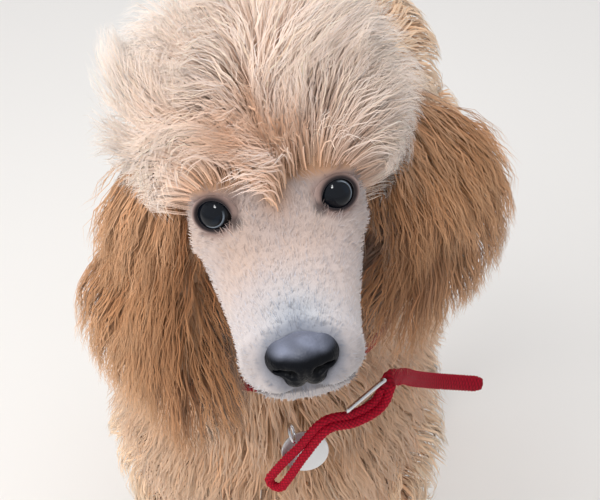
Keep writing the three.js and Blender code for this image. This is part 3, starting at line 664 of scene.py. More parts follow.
@functools.cache
def head_skin():
    """Skull, muzzle, jaw, brows and cheeks in one mesh, with sockets and the line of the mouth."""
    bm = bmesh.new()
    add_form(bm, SKULL, 56, 44)
    add_form(bm, JAW, 40, 32)
    add_ellipsoid(bm, TOPKNOT_CENTRE, TOPKNOT_RADII - TOPKNOT_COAT)
    for side in SIDES:
        add_ellipsoid(bm, (side * 25, 12, 9), (17, 14.5, 10.5))
        add_ellipsoid(bm, (side * 30, 15, -18), (15, 20, 15))
        add_ellipsoid(bm, (side * 12, -83, -43), (12, 14, 9.5))
        add_ellipsoid(bm, (side * 19, -58, -45), (10, 24, 10.5))
        centre = np.array([side * EYE_SPACING / 2, EYE_SETBACK, 0])
        add_ellipsoid(bm, centre, (EYE_RADIUS + 1.2,) * 3, 32, 20)
    mesh = melted(bm, sizes().head_voxel, 7)
    places = vertices_of(mesh)
    below = distance_to_path(places, mouth_path())
    inward = -normals_of(mesh)
    places = places + inward * (2.4 * np.clip(1 - below / 2.6, 0, 1) ** 1.5)[:, None]
    middle, high = np.exp(-((places[:, 0] / 1.4) ** 2)), places[:, 2]
    groove = middle * ease(high, -53, -50) * (1 - ease(high, -44, -41))
    places[:, 1] += 1.8 * groove * (places[:, 1] < -86)
    behind = np.linalg.norm((places - NOSE_CENTRE) / (NOSE_WIDTH / 2, 14, 13), axis=1)
    places[:, 1] += 7 * (1 - ease(behind, 0.55, 1.0))
    places = from_head(places)
    for side in SIDES:
        centre, gaze, right, up = eye_axes(side)
        away = places - centre
        ahead = away @ gaze
        wide = np.hypot(away @ right / 1.12, away @ up)
        sunk = (1 - ease(wide, 7.8, 10.2)) * (ahead > 0)
        places -= gaze * (sunk * np.maximum(ahead - 3, 0))[:, None]
    set_vertices(mesh, places)
    return mesh


def add_lids(bm, side):
    """The upper and lower lid round one eye: a soft rolled rim, spun about the way the eye looks."""
    centre, gaze, right, up = eye_axes(side)
    # The rim's section, from under its inner edge over the roll and back. Each point is its distance from the
    # line of gaze and how far ahead it lies.
    rim = [(7.3, 7.2), (7.35, 8.2), (7.6, 8.7), (8.1, 8.95), (8.8, 8.75), (9.6, 8.0), (10.4, 6.7)]
    rim += [(10.4, 4.6), (8.8, 4.6)]
    loop = [bm.verts.new((d, -ahead, 0)) for d, ahead in rim]
    edges = [bm.edges.new((a, b)) for a, b in zip(loop, loop[1:] + loop[:1])]
    bmesh.ops.spin(
        bm, geom=loop + edges, axis=(0, 1, 0), cent=(0, 0, 0), angle=2 * math.pi, steps=72, use_merge=True
    )
    inner_corner = -side
    for vertex in [v for v in bm.verts if not v.tag]:
        x, y, z = vertex.co
        round_eye = math.atan2(z, x * inner_corner)
        corner = max(0, math.cos(round_eye + 0.35)) ** 8
        spread = EYE_OPENING[0] / EYE_OPENING[1] * (1 + 0.16 * corner)
        lid = 0.94 if z > 0 else 1.0
        moved = centre + right * (x * spread) - gaze * y * (1 - 0.03 * corner) + up * (z * lid)
        vertex.co = moved
        vertex.tag = True


TOES = [(-20.5, -14), (-7.5, -25), (7.5, -25), (20.5, -14)]
TOE_RADIUS = 11
TOE_ARCH = 13
TOE_TIP = 19
TOE_LENGTH = 48
# A toe's half widths, by the share of the way back from its tip
TOE_WIDTHS = ((0, 5), (0.12, 9.2), (0.3, 10.2), (0.5, 10), (0.75, 9.5), (1, 7))
CLAW_LENGTH = 10
CLAW_HEIGHT = 13
CLAW_SETBACK = 17
ANKLES = {("fore", side): (side * FORELEG_X, PASTERN_Y) for side in SIDES}
ANKLES |= {("hind", side): (side * HINDLEG_X, HOCK_Y - 6) for side in SIDES}


@functools.cache
def foot_skin(ankle):
    """A foot with four arched toes and a pad behind, clipped short, standing flat."""
    bm = bmesh.new()
    add_ellipsoid(bm, (ankle[0], ankle[1] + 3, 40), (19, 19, 44))
    add_ellipsoid(bm, (ankle[0], ankle[1] - 8, 17), (20, 20, 14))
    for x, y in TOES:
        arch = []
        for back, wide in TOE_WIDTHS:
            spot = (
                ankle[0] + x * (1 - 0.3 * back),
                ankle[1] + y - TOE_TIP + TOE_LENGTH * back,
                TOE_RADIUS + TOE_ARCH * math.sin(math.pi * back**1.4),
            )
            arch.append((spot, wide, wide * 1.2, wide * 1.2))
        add_form(bm, Form(arch), 18, 16)
    mesh = melted(bm, sizes().foot_voxel, 3)
    places = vertices_of(mesh)
    places[:, 2] = np.maximum(places[:, 2], 0)
    set_vertices(mesh, places)
    return mesh




# Markings, shared by the skin and the coat


def face_colour(places):
    """Cream face, paler over the bridge, grey above the nose, dark lids and lips."""
    c = coat_colours()
    p = to_head(places)
    x, y, z = p.T
    ahead = ease(-y, 20, 78)
    bridge = np.exp(-((x / 15) ** 2)) * ease(z, -46, -24)
    colour = mix(c.face, c.muzzle, ahead * (0.3 + 0.7 * bridge))
    patch = 0.5 + 0.5 * ripple(places, 26, 3)
    colour = mix(colour, c.peach, 0.16 * patch * (1 - ahead))
    streak = np.exp(-((x / (5 + 0.12 * np.maximum(y + 98, 0))) ** 2)) * ease(-y, 48, 96) * (z > -34)
    colour = mix(colour, c.muzzle_grey, 0.75 * streak)
    near_nose = 1 - ease(np.linalg.norm((p - NOSE_CENTRE) / (NOSE_WIDTH / 2, 13, 15), axis=1), 0.98, 1.35)
    colour = mix(colour, c.muzzle_grey, 0.7 * near_nose)
    lip = 1 - ease(distance_to_path(p, mouth_path()), 1.0, 4.2)
    lip = lip * (0.25 + 0.75 * ease(-y, 40, 96))
    colour = mix(colour, c.lid, 0.8 * lip)
    # Partly hair colour and partly painted shade: tan up the stop between the eyes and in a band under the
    # fringe
    tan = np.exp(-((x / 8) ** 2)) * ease(y, -20, 0) * (z > -16)
    tan = np.maximum(tan, ease(brow_height(p), 5, 12) * (y < 40))
    colour = mix(colour, c.brow, 0.85 * tan)
    for side in SIDES:
        centre, _, right, up = eye_axes(side)
        away = places - centre
        wide = np.hypot((away @ right) / 1.12, away @ up)
        ahead_of_eye = np.linalg.norm(away, axis=1) < 24
        corner = np.hypot(away @ right + side * 11.5, away @ up + 4)
        # Partly hair colour and partly painted shade: a brownish ring that fades out from the lids over the
        # socket
        colour = mix(colour, c.lid_soft, 0.8 * (1 - ease(wide, 8.8, 14.5)) * ahead_of_eye)
        colour = mix(colour, c.lid, 0.7 * (1 - ease(corner, 1.0, 5.5)) * ahead_of_eye)
        colour = mix(colour, c.lid, 0.97 * (1 - ease(wide, 8.0, 10.0)) * ahead_of_eye)
    return colour


def coat_depths(places, root, middle, tip):
    """Three colours of a region's hair, each a little different from place to place."""
    patch = 0.5 + 0.5 * ripple(places, 60, 11)
    lighter = mix(middle, tip, 0.45 * patch)
    return mix(root, middle, 0.3 * patch), lighter, np.broadcast_to(tip, places.shape)


def skin_colour(places):
    """Colour of the skin, which is that of the roots of the coat on it."""
    c = coat_colours()
    root, middle, _ = coat_depths(places, c.apricot, c.peach, c.body_tip)
    colour = mix(root, middle, np.full(len(places), 0.35))
    stem = (np.linalg.norm(places[:, :2] - (0, 275), axis=1) < 34) & (places[:, 2] > 530)
    clipped = (places[:, 2] < FOOT_TOP + 6) | stem
    throat = (places[:, 1] < -270) & (places[:, 2] > 560)
    colour = mix(colour, c.chest_tip, 0.7 * throat)
    colour = mix(colour, c.face, 0.75 * clipped)
    return colour


# Hair


# Steps that fill a square evenly, from the real root of x^3 = x + 1
EVEN_STEPS = (0.7548776662466927, 0.5698402909980532)


def scattered(form, count, seed, low=0.0, high=1.0, keep_if=None):
    """Even roots over a form's surface: their place along it, angle round it and place in space."""
    draw = np.random.default_rng(seed)
    many = 6 * count + 200
    i = np.arange(many)
    t = low + (high - low) * ((0.5 + i * EVEN_STEPS[0]) % 1)
    angle = 2 * math.pi * ((0.5 + i * EVEN_STEPS[1]) % 1)
    step = 0.01
    along = form.point(np.clip(t + step, 0, 1), angle) - form.point(np.clip(t - step, 0, 1), angle)
    around = form.point(t, angle + step) - form.point(t, angle - step)
    area = np.linalg.norm(np.cross(along, around), axis=1)
    kept = draw.uniform(0, np.quantile(area, 0.98), many) < area
    t, angle = t[kept], angle[kept]
    spots = form.point(t, angle)
    if keep_if is not None:
        wanted = keep_if(spots, t, angle)
        t, angle, spots = t[wanted], angle[wanted], spots[wanted]
    chosen = np.sort(draw.permutation(len(t))[:count])
    return t[chosen], angle[chosen], spots[chosen]


def on_skin(tree, spots, reach):
    """Which spots are near the skin's surface, their places on it, and the way out there."""
    found = [tree.find_nearest(Vector(s)) for s in spots]
    near = np.array([f[3] is not None and f[3] < reach for f in found])
    places = np.array([f[0] if f[0] is not None else (0, 0, 0) for f in found], float)
    ways = np.array([f[1] if f[1] is not None else (0, 0, 1) for f in found], float)
    return near, places, ways


@functools.cache
def skin_tree():
    """A search tree over the skin of the body, in the dog's frame."""
    mesh = body_skin()
    return BVHTree.FromPolygons([v.co for v in mesh.vertices], [p.vertices for p in mesh.polygons])


def grown(roots, out, lie, length, points, lift, gravity=0.0):
    """Paths of hairs that leave the skin at lift's first angle and turn to its second.

    Both are in degrees from upright.
    """
    s = np.linspace(0, 1, points)
    lie = unit(lie - out * np.sum(lie * out, axis=1, keepdims=True))
    first, last = (np.broadcast_to(angle, len(roots))[:, None] for angle in lift)
    lean = np.radians(first + (last - first) * s)[..., None]
    way = out[:, None] * np.cos(lean) + lie[:, None] * np.sin(lean)
    way = unit(way + DOWN * (gravity * s)[None, :, None])
    steps = way[:, :-1] * (length / (points - 1))[:, None, None]
    return np.concatenate([roots[:, None], roots[:, None] + np.cumsum(steps, axis=1)], axis=1)


def gathered(paths, size, pull, hold, seed):
    """Draws hairs into locks: each follows its lock's middle hair by hold, and closes on it by pull."""
    draw = np.random.default_rng(seed)
    roots = paths[:, 0]
    middles = draw.permutation(len(roots))[: max(1, len(roots) // size)]
    tree = search_tree(roots[middles])
    lock = np.array([tree.find(r)[1] for r in roots])
    s = np.linspace(0, 1, paths.shape[1])[None, :, None]
    led = paths[middles[lock]]
    apart = (roots - led[:, 0])[:, None] * (1 - pull * s)
    share = (hold * draw.uniform(0.75, 1, len(roots)))[:, None, None]
    return paths * (1 - share) + (led + apart) * share, lock


def waved(paths, lock, height, span, seed, loose=0.3):
    """Lays waves of a height and span on hairs, in step within a lock."""
    draw = np.random.default_rng(seed)
    count, points = paths.shape[:2]
    locks = lock.max() + 1
    phase = draw.uniform(0, 2 * math.pi, locks)[lock] + loose * draw.normal(size=count)
    size = height * draw.uniform(0.55, 1.25, locks)[lock]
    axis = unit(draw.normal(size=(locks, 3)))[lock]
    ahead = unit(paths[:, -1] - paths[:, 0])
    side = unit(np.cross(ahead, axis))
    over = np.cross(ahead, side)
    s = np.linspace(0, 1, points)
    long = np.linalg.norm(paths[:, -1] - paths[:, 0], axis=1)
    turn = phase[:, None] + 2 * math.pi * (long / span)[:, None] * s
    grow = size[:, None] * s**0.8
    paths = paths + (grow * np.sin(turn))[..., None] * side[:, None]
    return paths + (0.6 * grow * np.cos(turn))[..., None] * over[:, None]


# Width of a tuft's patch on the map
PATCH = 0.003


def hair_piece(name, paths, width, colours, patches, sideways, facing, taper=0.25, soft=4.0):
    """One mesh of closed three-sided tufts along the paths, each thinning to a point.

    Each tuft has its own patch of the map. Its shading leans toward facing, the way that the coat faces as a
    whole, by soft: this gives the softness of fine hair.
    """
    count, points = paths.shape[:2]
    s = np.linspace(0, 1, points)
    ahead = unit(np.gradient(paths, axis=1))
    side = unit(np.cross(ahead, sideways[:, None]))
    over = np.cross(ahead, side)
    flat = np.clip(1.0 / width, 0.28, 0.6)[:, None]
    swell = 0.55 + 0.45 * np.sin(math.pi * np.minimum(1, 0.25 + 0.6 * s))
    thick = width[:, None] / 2 * swell * (1 - (1 - taper) * s**2)
    rings = points - 1
    corners = []
    for j in range(3):
        angle = 2 * math.pi * j / 3
        move = side * (thick * math.cos(angle))[..., None]
        move = move + over * (thick * flat * math.sin(angle))[..., None]
        corners.append((paths + move)[:, :rings])
    ring_points = np.stack(corners, axis=2).reshape(count, rings * 3, 3)
    places = np.concatenate([ring_points, paths[:, -1:]], axis=1)
    each = rings * 3 + 1
    r, j = np.meshgrid(np.arange(rings - 1), np.arange(3), indexing="ij")
    a, b = (r * 3 + j).ravel(), (r * 3 + (j + 1) % 3).ravel()
    quads = np.column_stack([a, b, b + 3, a + 3])
    last = (rings - 1) * 3
    tips = np.array([[last + j, last + (j + 1) % 3, each - 1] for j in range(3)] + [[2, 1, 0]])
    start = (np.arange(count) * each)[:, None]
    quad_corners = (start + quads.ravel()).ravel()
    tip_corners = (start + tips.ravel()).ravel()
    corners = np.concatenate([quad_corners, tip_corners]).astype(np.int32)
    quad_count, tri_count = count * len(quads), count * len(tips)
    starts = np.concatenate([np.arange(quad_count) * 4, quad_count * 4 + np.arange(tri_count) * 3])
    mesh = bpy.data.meshes.new(name)
    mesh.vertices.add(count * each)
    mesh.vertices.foreach_set("co", in_frame(places.reshape(-1, 3)).astype(np.float32).ravel())
    mesh.loops.add(len(corners))
    mesh.loops.foreach_set("vertex_index", corners)
    mesh.polygons.add(len(starts))
    mesh.polygons.foreach_set("loop_start", starts.astype(np.int32))
    mesh.update(calc_edges=True)
    mesh.validate()
    shade = np.concatenate([np.repeat(colours[:, :rings], 3, axis=1), colours[:, -1:]], axis=1)
    set_tint(mesh, shade.reshape(-1, 3))
    across = np.concatenate([np.tile([-0.5, 0.5, 0.0], rings), [0.0]])
    along = np.concatenate([np.repeat(s[:rings], 3), [1.0]]) - 0.5
    spread = np.column_stack([across, along]) * PATCH
    on_map = (patches[:, None] * (1 - 2 * PATCH) + PATCH + spread[None]).reshape(-1, 2)
    layer = mesh.uv_layers.new(name="OFBake")
    layer.data.foreach_set("uv", on_map[corners].astype(np.float32).ravel())
    piece = new_object(name, mesh)
    ways = np.repeat(facing, each, axis=0) * soft + normals_of(mesh)
    normals = mesh.attributes.new("custom_normal", "FLOAT_VECTOR", "POINT")
    normals.data.foreach_set("vector", unit(ways).ravel())
    keep(piece, hair_material(), "coat")


def shaded(roots, middles, tips, points, seed, spread=0.1):
    """Colours along each hair from its root to its tip, a little lighter or darker from hair to hair."""
    draw = np.random.default_rng(seed)
    s = np.linspace(0, 1, points)
    first = mix(roots[:, None], middles[:, None], ease(s, 0, 0.5)[None].repeat(len(roots), 0))
    colour = mix(first, tips[:, None], ease(s, 0.4, 1)[None].repeat(len(roots), 0))
    lightness = 1 + spread * draw.normal(size=(len(roots), 1, 1))
    warmth = 1 + 0.03 * draw.normal(size=(len(roots), 1, 1)) * np.array([1, 0, -1.2])
    return np.clip(colour * lightness * warmth, 0.005, 1)


def loose_sideways(out, seed, order=0.6):
    """The way that each tuft's flat side faces, mostly outward where order is high."""
    draw = np.random.default_rng(seed)
    order = np.broadcast_to(order, len(out))[:, None]
    return unit(out * order + unit(draw.normal(size=out.shape)) * (1 - order))


def layered(paths, seed, fine, broad, share, low=0.94):
    """Makes some tufts broad flat locks that lie below, and the rest fine hairs over them.

    Gives the paths, the widths and how far each flat side is kept facing outward.
    """
    draw = np.random.default_rng(seed)
    below = draw.uniform(0, 1, len(paths)) < share
    width = np.where(below, draw.uniform(*broad, len(paths)), draw.uniform(*fine, len(paths)))
    reach = np.where(below, low, 1.0)[:, None, None]
    return paths[:, :1] + (paths - paths[:, :1]) * reach, width, np.where(below, 0.75, 0.35)


MOST_TRIANGLES = 195_000


def hair_pieces(name, paths, width, colours, patches, sideways, facing, **shape):
    """The tufts as one piece, or as more where one piece would have more than MOST_TRIANGLES triangles."""
    each = 6 * paths.shape[1] - 8
    pieces = math.ceil(len(paths) * each / MOST_TRIANGLES)
    for i in range(pieces):
        label = name if pieces == 1 else f"{name}_{i + 1}"
        rows = (row[i::pieces] for row in (paths, width, colours, patches, sideways, facing))
        hair_piece(label, *rows, **shape)


def skin_samples(mesh, count, seed, keep_if):
    """Random roots on a skin mesh: places and the way out, where keep_if holds."""
    draw = np.random.default_rng(seed)
    mesh.calc_loop_triangles()
    triangles = np.empty(len(mesh.loop_triangles) * 3, np.int32)
    mesh.loop_triangles.foreach_get("vertices", triangles)
    triangles = triangles.reshape(-1, 3)
    places, ways = vertices_of(mesh), normals_of(mesh)
    corner = places[triangles]
    area = np.linalg.norm(np.cross(corner[:, 1] - corner[:, 0], corner[:, 2] - corner[:, 0]), axis=1)
    middle = corner.mean(axis=1)
    area = area * keep_if(middle)
    picked = draw.choice(len(triangles), count, p=area / area.sum())
    share = draw.dirichlet((1, 1, 1), count)[..., None]
    return (corner[picked] * share).sum(1), unit((ways[triangles[picked]] * share).sum(1))


def ball_map(points, centre, radii):
    """Places on an unwrap of a round form: the angle round it and the share of the way down it."""
    way = unit((points - centre) / radii)
    around = np.arctan2(way[:, 0], -way[:, 1]) / (2 * math.pi) + 0.5
    return np.column_stack([around, np.arccos(way[:, 2]) / math.pi])


# How much a place's height and its setback raise it, as seen from 25 degrees above the muzzle
SEEN_HEIGHT, SEEN_SETBACK = 0.906, 0.4226


def brow_height(p):
    """How high a place in the head's frame shows above the eyes from in front, in millimetres."""
    return SEEN_HEIGHT * p[..., 2] + SEEN_SETBACK * (p[..., 1] - EYE_SETBACK)


# Lowest place that hair may reach in front of the face, by distance from the middle line
BROW_ACROSS = [0, 5, 15, 40, 45, 58, 76, 94]
BROW_LOWEST = [-5, -1, 8, 8, -4, -4, 24, 60]


# Ways from the topknot's middle to its palest locks and to the creases that get painted shade, and their sizes
PALE_LOCKS = [
    ((-0.069, -0.712, 0.699), 0.16),
    ((-0.321, -0.947, -0.034), 0.3),
    ((0.347, -0.938, 0.004), 0.16),
]
CREASE_SHADE_LOCKS = [
    ((0.159, -0.96, 0.23), 0.26),
    ((-0.04, -0.97, 0.2), 0.22),
    ((-0.369, -0.92, 0.132), 0.24),
    ((-0.136, -0.887, 0.44), 0.2),
]


def cut_short(paths, blocked):
    """Scissors each hair just before the first of its points that is blocked."""
    points = paths.shape[1]
    blocked[:, 0] = False
    first = np.where(blocked.any(1), blocked.argmax(1), points)
    reach = np.clip((first - 0.5) / (points - 1), 0.1, 1)
    at = np.linspace(0, 1, points)[None] * reach[:, None] * (points - 1)
    low = np.clip(np.floor(at).astype(int), 0, points - 2)
    part = (at - low)[..., None]
    rows = np.arange(len(paths))[:, None]
    return paths[rows, low] * (1 - part) + paths[rows, low + 1] * part


def off_brow(paths):
    """Scissors the hair of the brow, so that none hangs over the eyes."""
    p = to_head(paths)
    lowest = np.interp(np.abs(p[..., 0]), BROW_ACROSS, BROW_LOWEST)
    return cut_short(paths, (brow_height(p) < lowest) & (p[..., 1] < 42))


def off_collar(paths):
    """Parts the coat where the strap, the tag and the cord lie on it."""
    strap = route(STRAP_ROUTE, 60)
    cord = cord_path(np.linspace(0, 2 * math.pi, 90))
    shown = np.linalg.norm(cord - SLIDE_CORNERS.mean(axis=0), axis=1) < 24
    cord = cord[(cord[:, 1] > -245) | shown]
    blocked = np.linalg.norm(paths - TAG_CENTRE, axis=2) < TAG_RADIUS + 2
    for line, room in ((strap, 7.5), (cord, 4.5)):
        tree = search_tree(line)
        near = np.flatnonzero(np.linalg.norm(paths - line.mean(axis=0), axis=2).min(axis=1) < 150)
        for i in near:
            blocked[i] |= [tree.find(spot)[2] < room for spot in paths[i]]
    return cut_short(paths, blocked)


def on_crown(places):
    p = to_head(places)
    hairline = np.interp(np.abs(p[:, 0]), [0, 6, 14, 38, 48], [-6, 4, 12, 11, -8])
    high = brow_height(p) > np.where(p[:, 1] < 46, hairline, -30)
    return high & (p[:, 2] > np.where(p[:, 1] > 46, -30, -12))


class PoodleSkin(bpy.types.Operator):
    """Make the skin: one smooth hide from the muzzle to the tail and toes"""

    bl_idname = "poodle.skin"
    bl_label = "Skin"

    def execute(self, context):
        bm = bmesh.new()
        colours = []
        feet = {key: foot_skin(ankle) for key, ankle in ANKLES.items()}
        for mesh in [body_skin(), *feet.values()]:
            bm.from_mesh(mesh)
            colours.append(skin_colour(vertices_of(mesh)))
        bm.from_mesh(head_skin())
        for vertex in bm.verts:
            vertex.tag = True
        for side in SIDES:
            add_lids(bm, side)
        bmesh.ops.recalc_face_normals(bm, faces=bm.faces)
        mesh = mesh_from(bm, "skin")
        places = vertices_of(mesh)
        body = sum(len(c) for c in colours)
        colours.append(face_colour(places[body:]))
        set_vertices(mesh, in_frame(places))
        set_tint(mesh, np.concatenate(colours))
        paired = ("ear", "foreleg", "thigh", "hock", "forefoot", "hindfoot")
        flesh = ["head", "neck", "torso", "tail"]
        flesh += [f"{part}_{side}" for side in SIDE_NAMES.values() for part in paired]
        keep(new_object("skin", mesh), skin_material(), "face", *flesh)
        return {"FINISHED"}


# Where the painted highlight on the rim of each iris shows, as parts of the eye's own right and up
EYE_PAINTED_GLINT = {1: (0.95, 0.3), -1: (0.6, -0.8)}


class PoodleEyes(bpy.types.Operator):
    """Make the eyes: wet dark balls with a pupil, an iris and a clear front"""

    bl_idname = "poodle.eyes"
    bl_label = "Eyes"

    def execute(self, context):
        for side, name in SIDE_NAMES.items():
            centre, gaze, right, up = eye_axes(side)
            bm = bmesh.new()
            bmesh.ops.create_uvsphere(bm, u_segments=72, v_segments=48, radius=EYE_RADIUS)
            for vertex in bm.verts:
                x, y, z = vertex.co
                # The cornea stands a little proud of the ball, round the pole that looks out
                bulge = 1 + 0.045 * float(ease(z / EYE_RADIUS, 0.72, 0.95))
                vertex.co = centre + (right * x + up * y + gaze * z) * bulge
            mesh = mesh_from(bm, "eyeball_" + name)
            set_vertices(mesh, in_frame(vertices_of(mesh)))
            across, high = EYE_PAINTED_GLINT[side]
            wet_eye = self.wet_eye(name, centre, gaze, right * across + up * high)
            keep(new_object("eyeball_" + name, mesh), wet_eye, "eye", "eye_" + name)
        return {"FINISHED"}

    def wet_eye(self, name, centre, gaze, glint_way):
        """A dog's eye: near black iris round a deep blue pupil, with a painted highlight on one side of the
        iris's rim, under a clear wet coat.
        """
        c = coat_colours()
        material, tree = new_material("wet_eye_" + name)
        place = node_in(tree, "ShaderNodeTexCoord")
        away = node_in(tree, "ShaderNodeVectorMath", {0: place.outputs["Object"]}, operation="SUBTRACT")
        away.inputs[1].default_value = in_frame(centre)
        way = node_in(tree, "ShaderNodeVectorMath", {0: away.outputs[0]}, operation="NORMALIZE")
        facing = node_in(tree, "ShaderNodeVectorMath", {0: way.outputs[0]}, operation="DOT_PRODUCT")
        facing.inputs[1].default_value = gaze
        ramp = node_in(tree, "ShaderNodeValToRGB", {"Fac": facing.outputs["Value"]})
        # A painted highlight: the iris's rim is painted pale on one side, where the light that the cornea
        # bends would gather
        low = node_in(tree, "ShaderNodeVectorMath", {0: way.outputs[0]}, operation="DOT_PRODUCT")
        low.inputs[1].default_value = glint_way
        lit = node_in(tree, "ShaderNodeMapRange", {"Value": low.outputs["Value"]})
        lit.inputs["From Min"].default_value = 0.12
        lit.inputs["From Max"].default_value = 0.42
        shown = node_in(tree, "ShaderNodeMix", {0: lit.outputs[0]}, data_type="RGBA")
        shown.inputs[6].default_value = (*c.iris, 1)
        tree.links.new(ramp.outputs["Color"], shown.inputs[7])
        bands = [
            (0.70, (0.012, 0.010, 0.010, 1)),
            (0.805, (*c.iris * 0.8, 1)),
            (0.838, (*c.iris_glint * 0.6, 1)),
            (0.856, (*c.iris_glint, 1)),
            (0.872, (*c.iris, 1)),
            (0.905, (*c.iris * 0.6, 1)),
            (0.915, (*c.pupil * 0.6, 1)),
            (1.0, (*c.pupil, 1)),
        ]
        points = ramp.color_ramp.elements
        while len(points) < len(bands):
            points.new(0.5)
        for point, (position, colour) in zip(points, bands):
            point.position = position
            point.color = colour
        finish_surface(
            tree,
            {"Base Color": shown.outputs[2]},
            Roughness=0.3,
            IOR=1.38,
            Specular_IOR_Level=0.0,
            Coat_Weight=1.0,
            Coat_Roughness=0.02,
            Coat_IOR=1.33,
        )
        return material


class PoodleNose(bpy.types.Operator):
    """Make the nose: pebbled black leather with open nostrils and a groove"""

    bl_idname = "poodle.nose"
    bl_label = "Nose"

    def execute(self, context):
        bm = bmesh.new()
        x, y, z = NOSE_CENTRE
        add_ellipsoid(bm, (x, y, z), (13.4, 12.6, 11.9), 40, 28)
        add_ellipsoid(bm, (x, y + 1.2, z + 2.6), (15.2, 10.8, 8.7), 40, 28)
        for side in SIDES:
            add_ellipsoid(bm, (side * 9.0, y + 1.5, z + 1.2), (8.1, 10.6, 8.6), 32, 24)
            add_ellipsoid(bm, (side * 4.2, y - 1.2, z - 7), (6.2, 8.6, 5.4), 24, 16)
        mesh = melted(bm, NOSE_VOXEL, 8)
        places, ways = vertices_of(mesh), normals_of(mesh)
        depth = np.zeros(len(places))
        for side in SIDES:
            # A round hole in front that runs out into a slit round the wing
            s = np.linspace(0, 1, 24)
            slit = np.column_stack([side * (6.4 + 6.4 * s), y - 12.2 + 6.0 * s**1.6, z - 3.0 + 1.6 * s])
            wide = 4.0 - 2.4 * s
            gap = (np.linalg.norm(places[:, None] - slit[None], axis=2) / wide).min(axis=1)
            depth = np.maximum(depth, (1 - ease(gap, 0.2, 1.0)) * 4.6)
        middle = np.exp(-((places[:, 0] / 0.8) ** 2))
        groove = middle * (1 - ease(places[:, 2], z - 5, z + 2)) * (places[:, 1] < y)
        c = coat_colours()
        # Painted sheen: the upward-facing top of the nose is painted lilac-grey for the soft reflection of
        # light from above
        top_sheen = ease(ways[:, 2], 0.3, 0.75) * ease(places[:, 2], z + 2, z + 8)
        top_sheen = top_sheen * (1 - 0.5 * ease(np.abs(places[:, 0]), 8, 15)) * (0.8 + 0.2 * ripple(places, 6, 17))
        colour = mix(c.nose, c.nose_sheen, np.clip(top_sheen, 0, 1))
        # Painted shade: the leather darkens the deeper it lies in the nostrils
        set_tint(mesh, colour * (1 - ease(depth, 0.8, 4.0) * 0.9)[:, None])
        inward = np.array([0, 0.94, 0.34])
        places = places + inward * depth[:, None] + np.array([0, 1.4, 0]) * groove[:, None]
        set_vertices(mesh, in_frame(from_head(places)))
        mesh.name = "nose_leather"
        keep(new_object("nose_leather", mesh), self.leather(), "nose", "nose")
        return {"FINISHED"}

    def leather(self):
        """Moist nose leather: black, in pebbles about a millimetre across, with a soft wet gloss."""
        material, tree = new_material("nose_leather")
        place = node_in(tree, "ShaderNodeTexCoord")
        tint = node_in(tree, "ShaderNodeVertexColor", layer_name="tint")
        object_place = {"Vector": place.outputs["Object"]}
        pebble_scale = 1 / (1.15 * MM)
        pebbles = node_in(tree, "ShaderNodeTexVoronoi", object_place, Scale=pebble_scale, feature="SMOOTH_F1")
        blotch = node_in(tree, "ShaderNodeTexNoise", object_place, Scale=1 / (9 * MM), Detail=3.0)
        uneven = node_in(tree, "ShaderNodeMapRange", {"Value": blotch.outputs["Fac"]})
        uneven.inputs["To Min"].default_value = 0.75
        uneven.inputs["To Max"].default_value = 1.25
        shade = node_in(tree, "ShaderNodeVectorMath", {0: tint.outputs["Color"]}, operation="SCALE")
        tree.links.new(uneven.outputs[0], shade.inputs["Scale"])
        bump = node_in(
            tree, "ShaderNodeBump", {"Height": pebbles.outputs["Distance"]}, Strength=0.7, Distance=0.35 * MM
        )
        bump.invert = True
        finish_surface(
            tree,
            {"Base Color": shade.outputs["Vector"], "Normal": bump.outputs["Normal"]},
            Roughness=0.4,
            IOR=1.45,
            Specular_IOR_Level=0.16,
        )
        return material


class PoodleClaws(bpy.types.Operator):
    """Make the sixteen claws: short curved horn"""

    bl_idname = "poodle.claws"
    bl_label = "Claws"

    def execute(self, context):
        bm = bmesh.new()
        names = []
        for (leg, side), (ankle_x, ankle_y) in ANKLES.items():
            for i, (x, y) in enumerate(TOES):
                root = np.array([ankle_x + x, ankle_y + y - CLAW_SETBACK + 2.5, CLAW_HEIGHT])
                length = CLAW_LENGTH + 2
                sections = []
                for s in (0, 0.3, 0.6, 0.85, 1):
                    spot, thin = root + (0, -length * s, -5.4 * s * s), 1.12 - s
                    sections.append((tuple(spot), 3.1 * thin, 3.7 * thin, 3.7 * thin))
                add_form(bm, Form(sections), 16, 12)
                names.append(f"claw_{leg}foot_{SIDE_NAMES[side]}_{i + 1}")
        bmesh.ops.recalc_face_normals(bm, faces=bm.faces)
        mesh = mesh_from(bm, "claws")
        set_vertices(mesh, in_frame(vertices_of(mesh)))
        keep(new_object("claws", mesh), self.horn(), "claw", *names)
        return {"FINISHED"}

    def horn(self):
        """Claw horn: smooth, half glossy, with fine streaks along it."""
        material, tree = new_material("claw_horn")
        place = node_in(tree, "ShaderNodeTexCoord")
        stretch = node_in(tree, "ShaderNodeMapping", {"Vector": place.outputs["Object"]})
        stretch.inputs["Scale"].default_value = (1, 0.15, 1)
        streak_scale = 1 / (0.8 * MM)
        stretched = {"Vector": stretch.outputs[0]}
        streak = node_in(tree, "ShaderNodeTexNoise", stretched, Scale=streak_scale, Detail=3.0)
        ramp = node_in(tree, "ShaderNodeValToRGB", {"Fac": streak.outputs["Fac"]})
        base = coat_colours().claw
        ramp.color_ramp.elements[0].color = (*base * 0.55, 1)
        ramp.color_ramp.elements[1].color = (*base * 1.6, 1)
        finish_surface(tree, {"Base Color": ramp.outputs["Color"]}, Roughness=0.38, IOR=1.54)
        return material


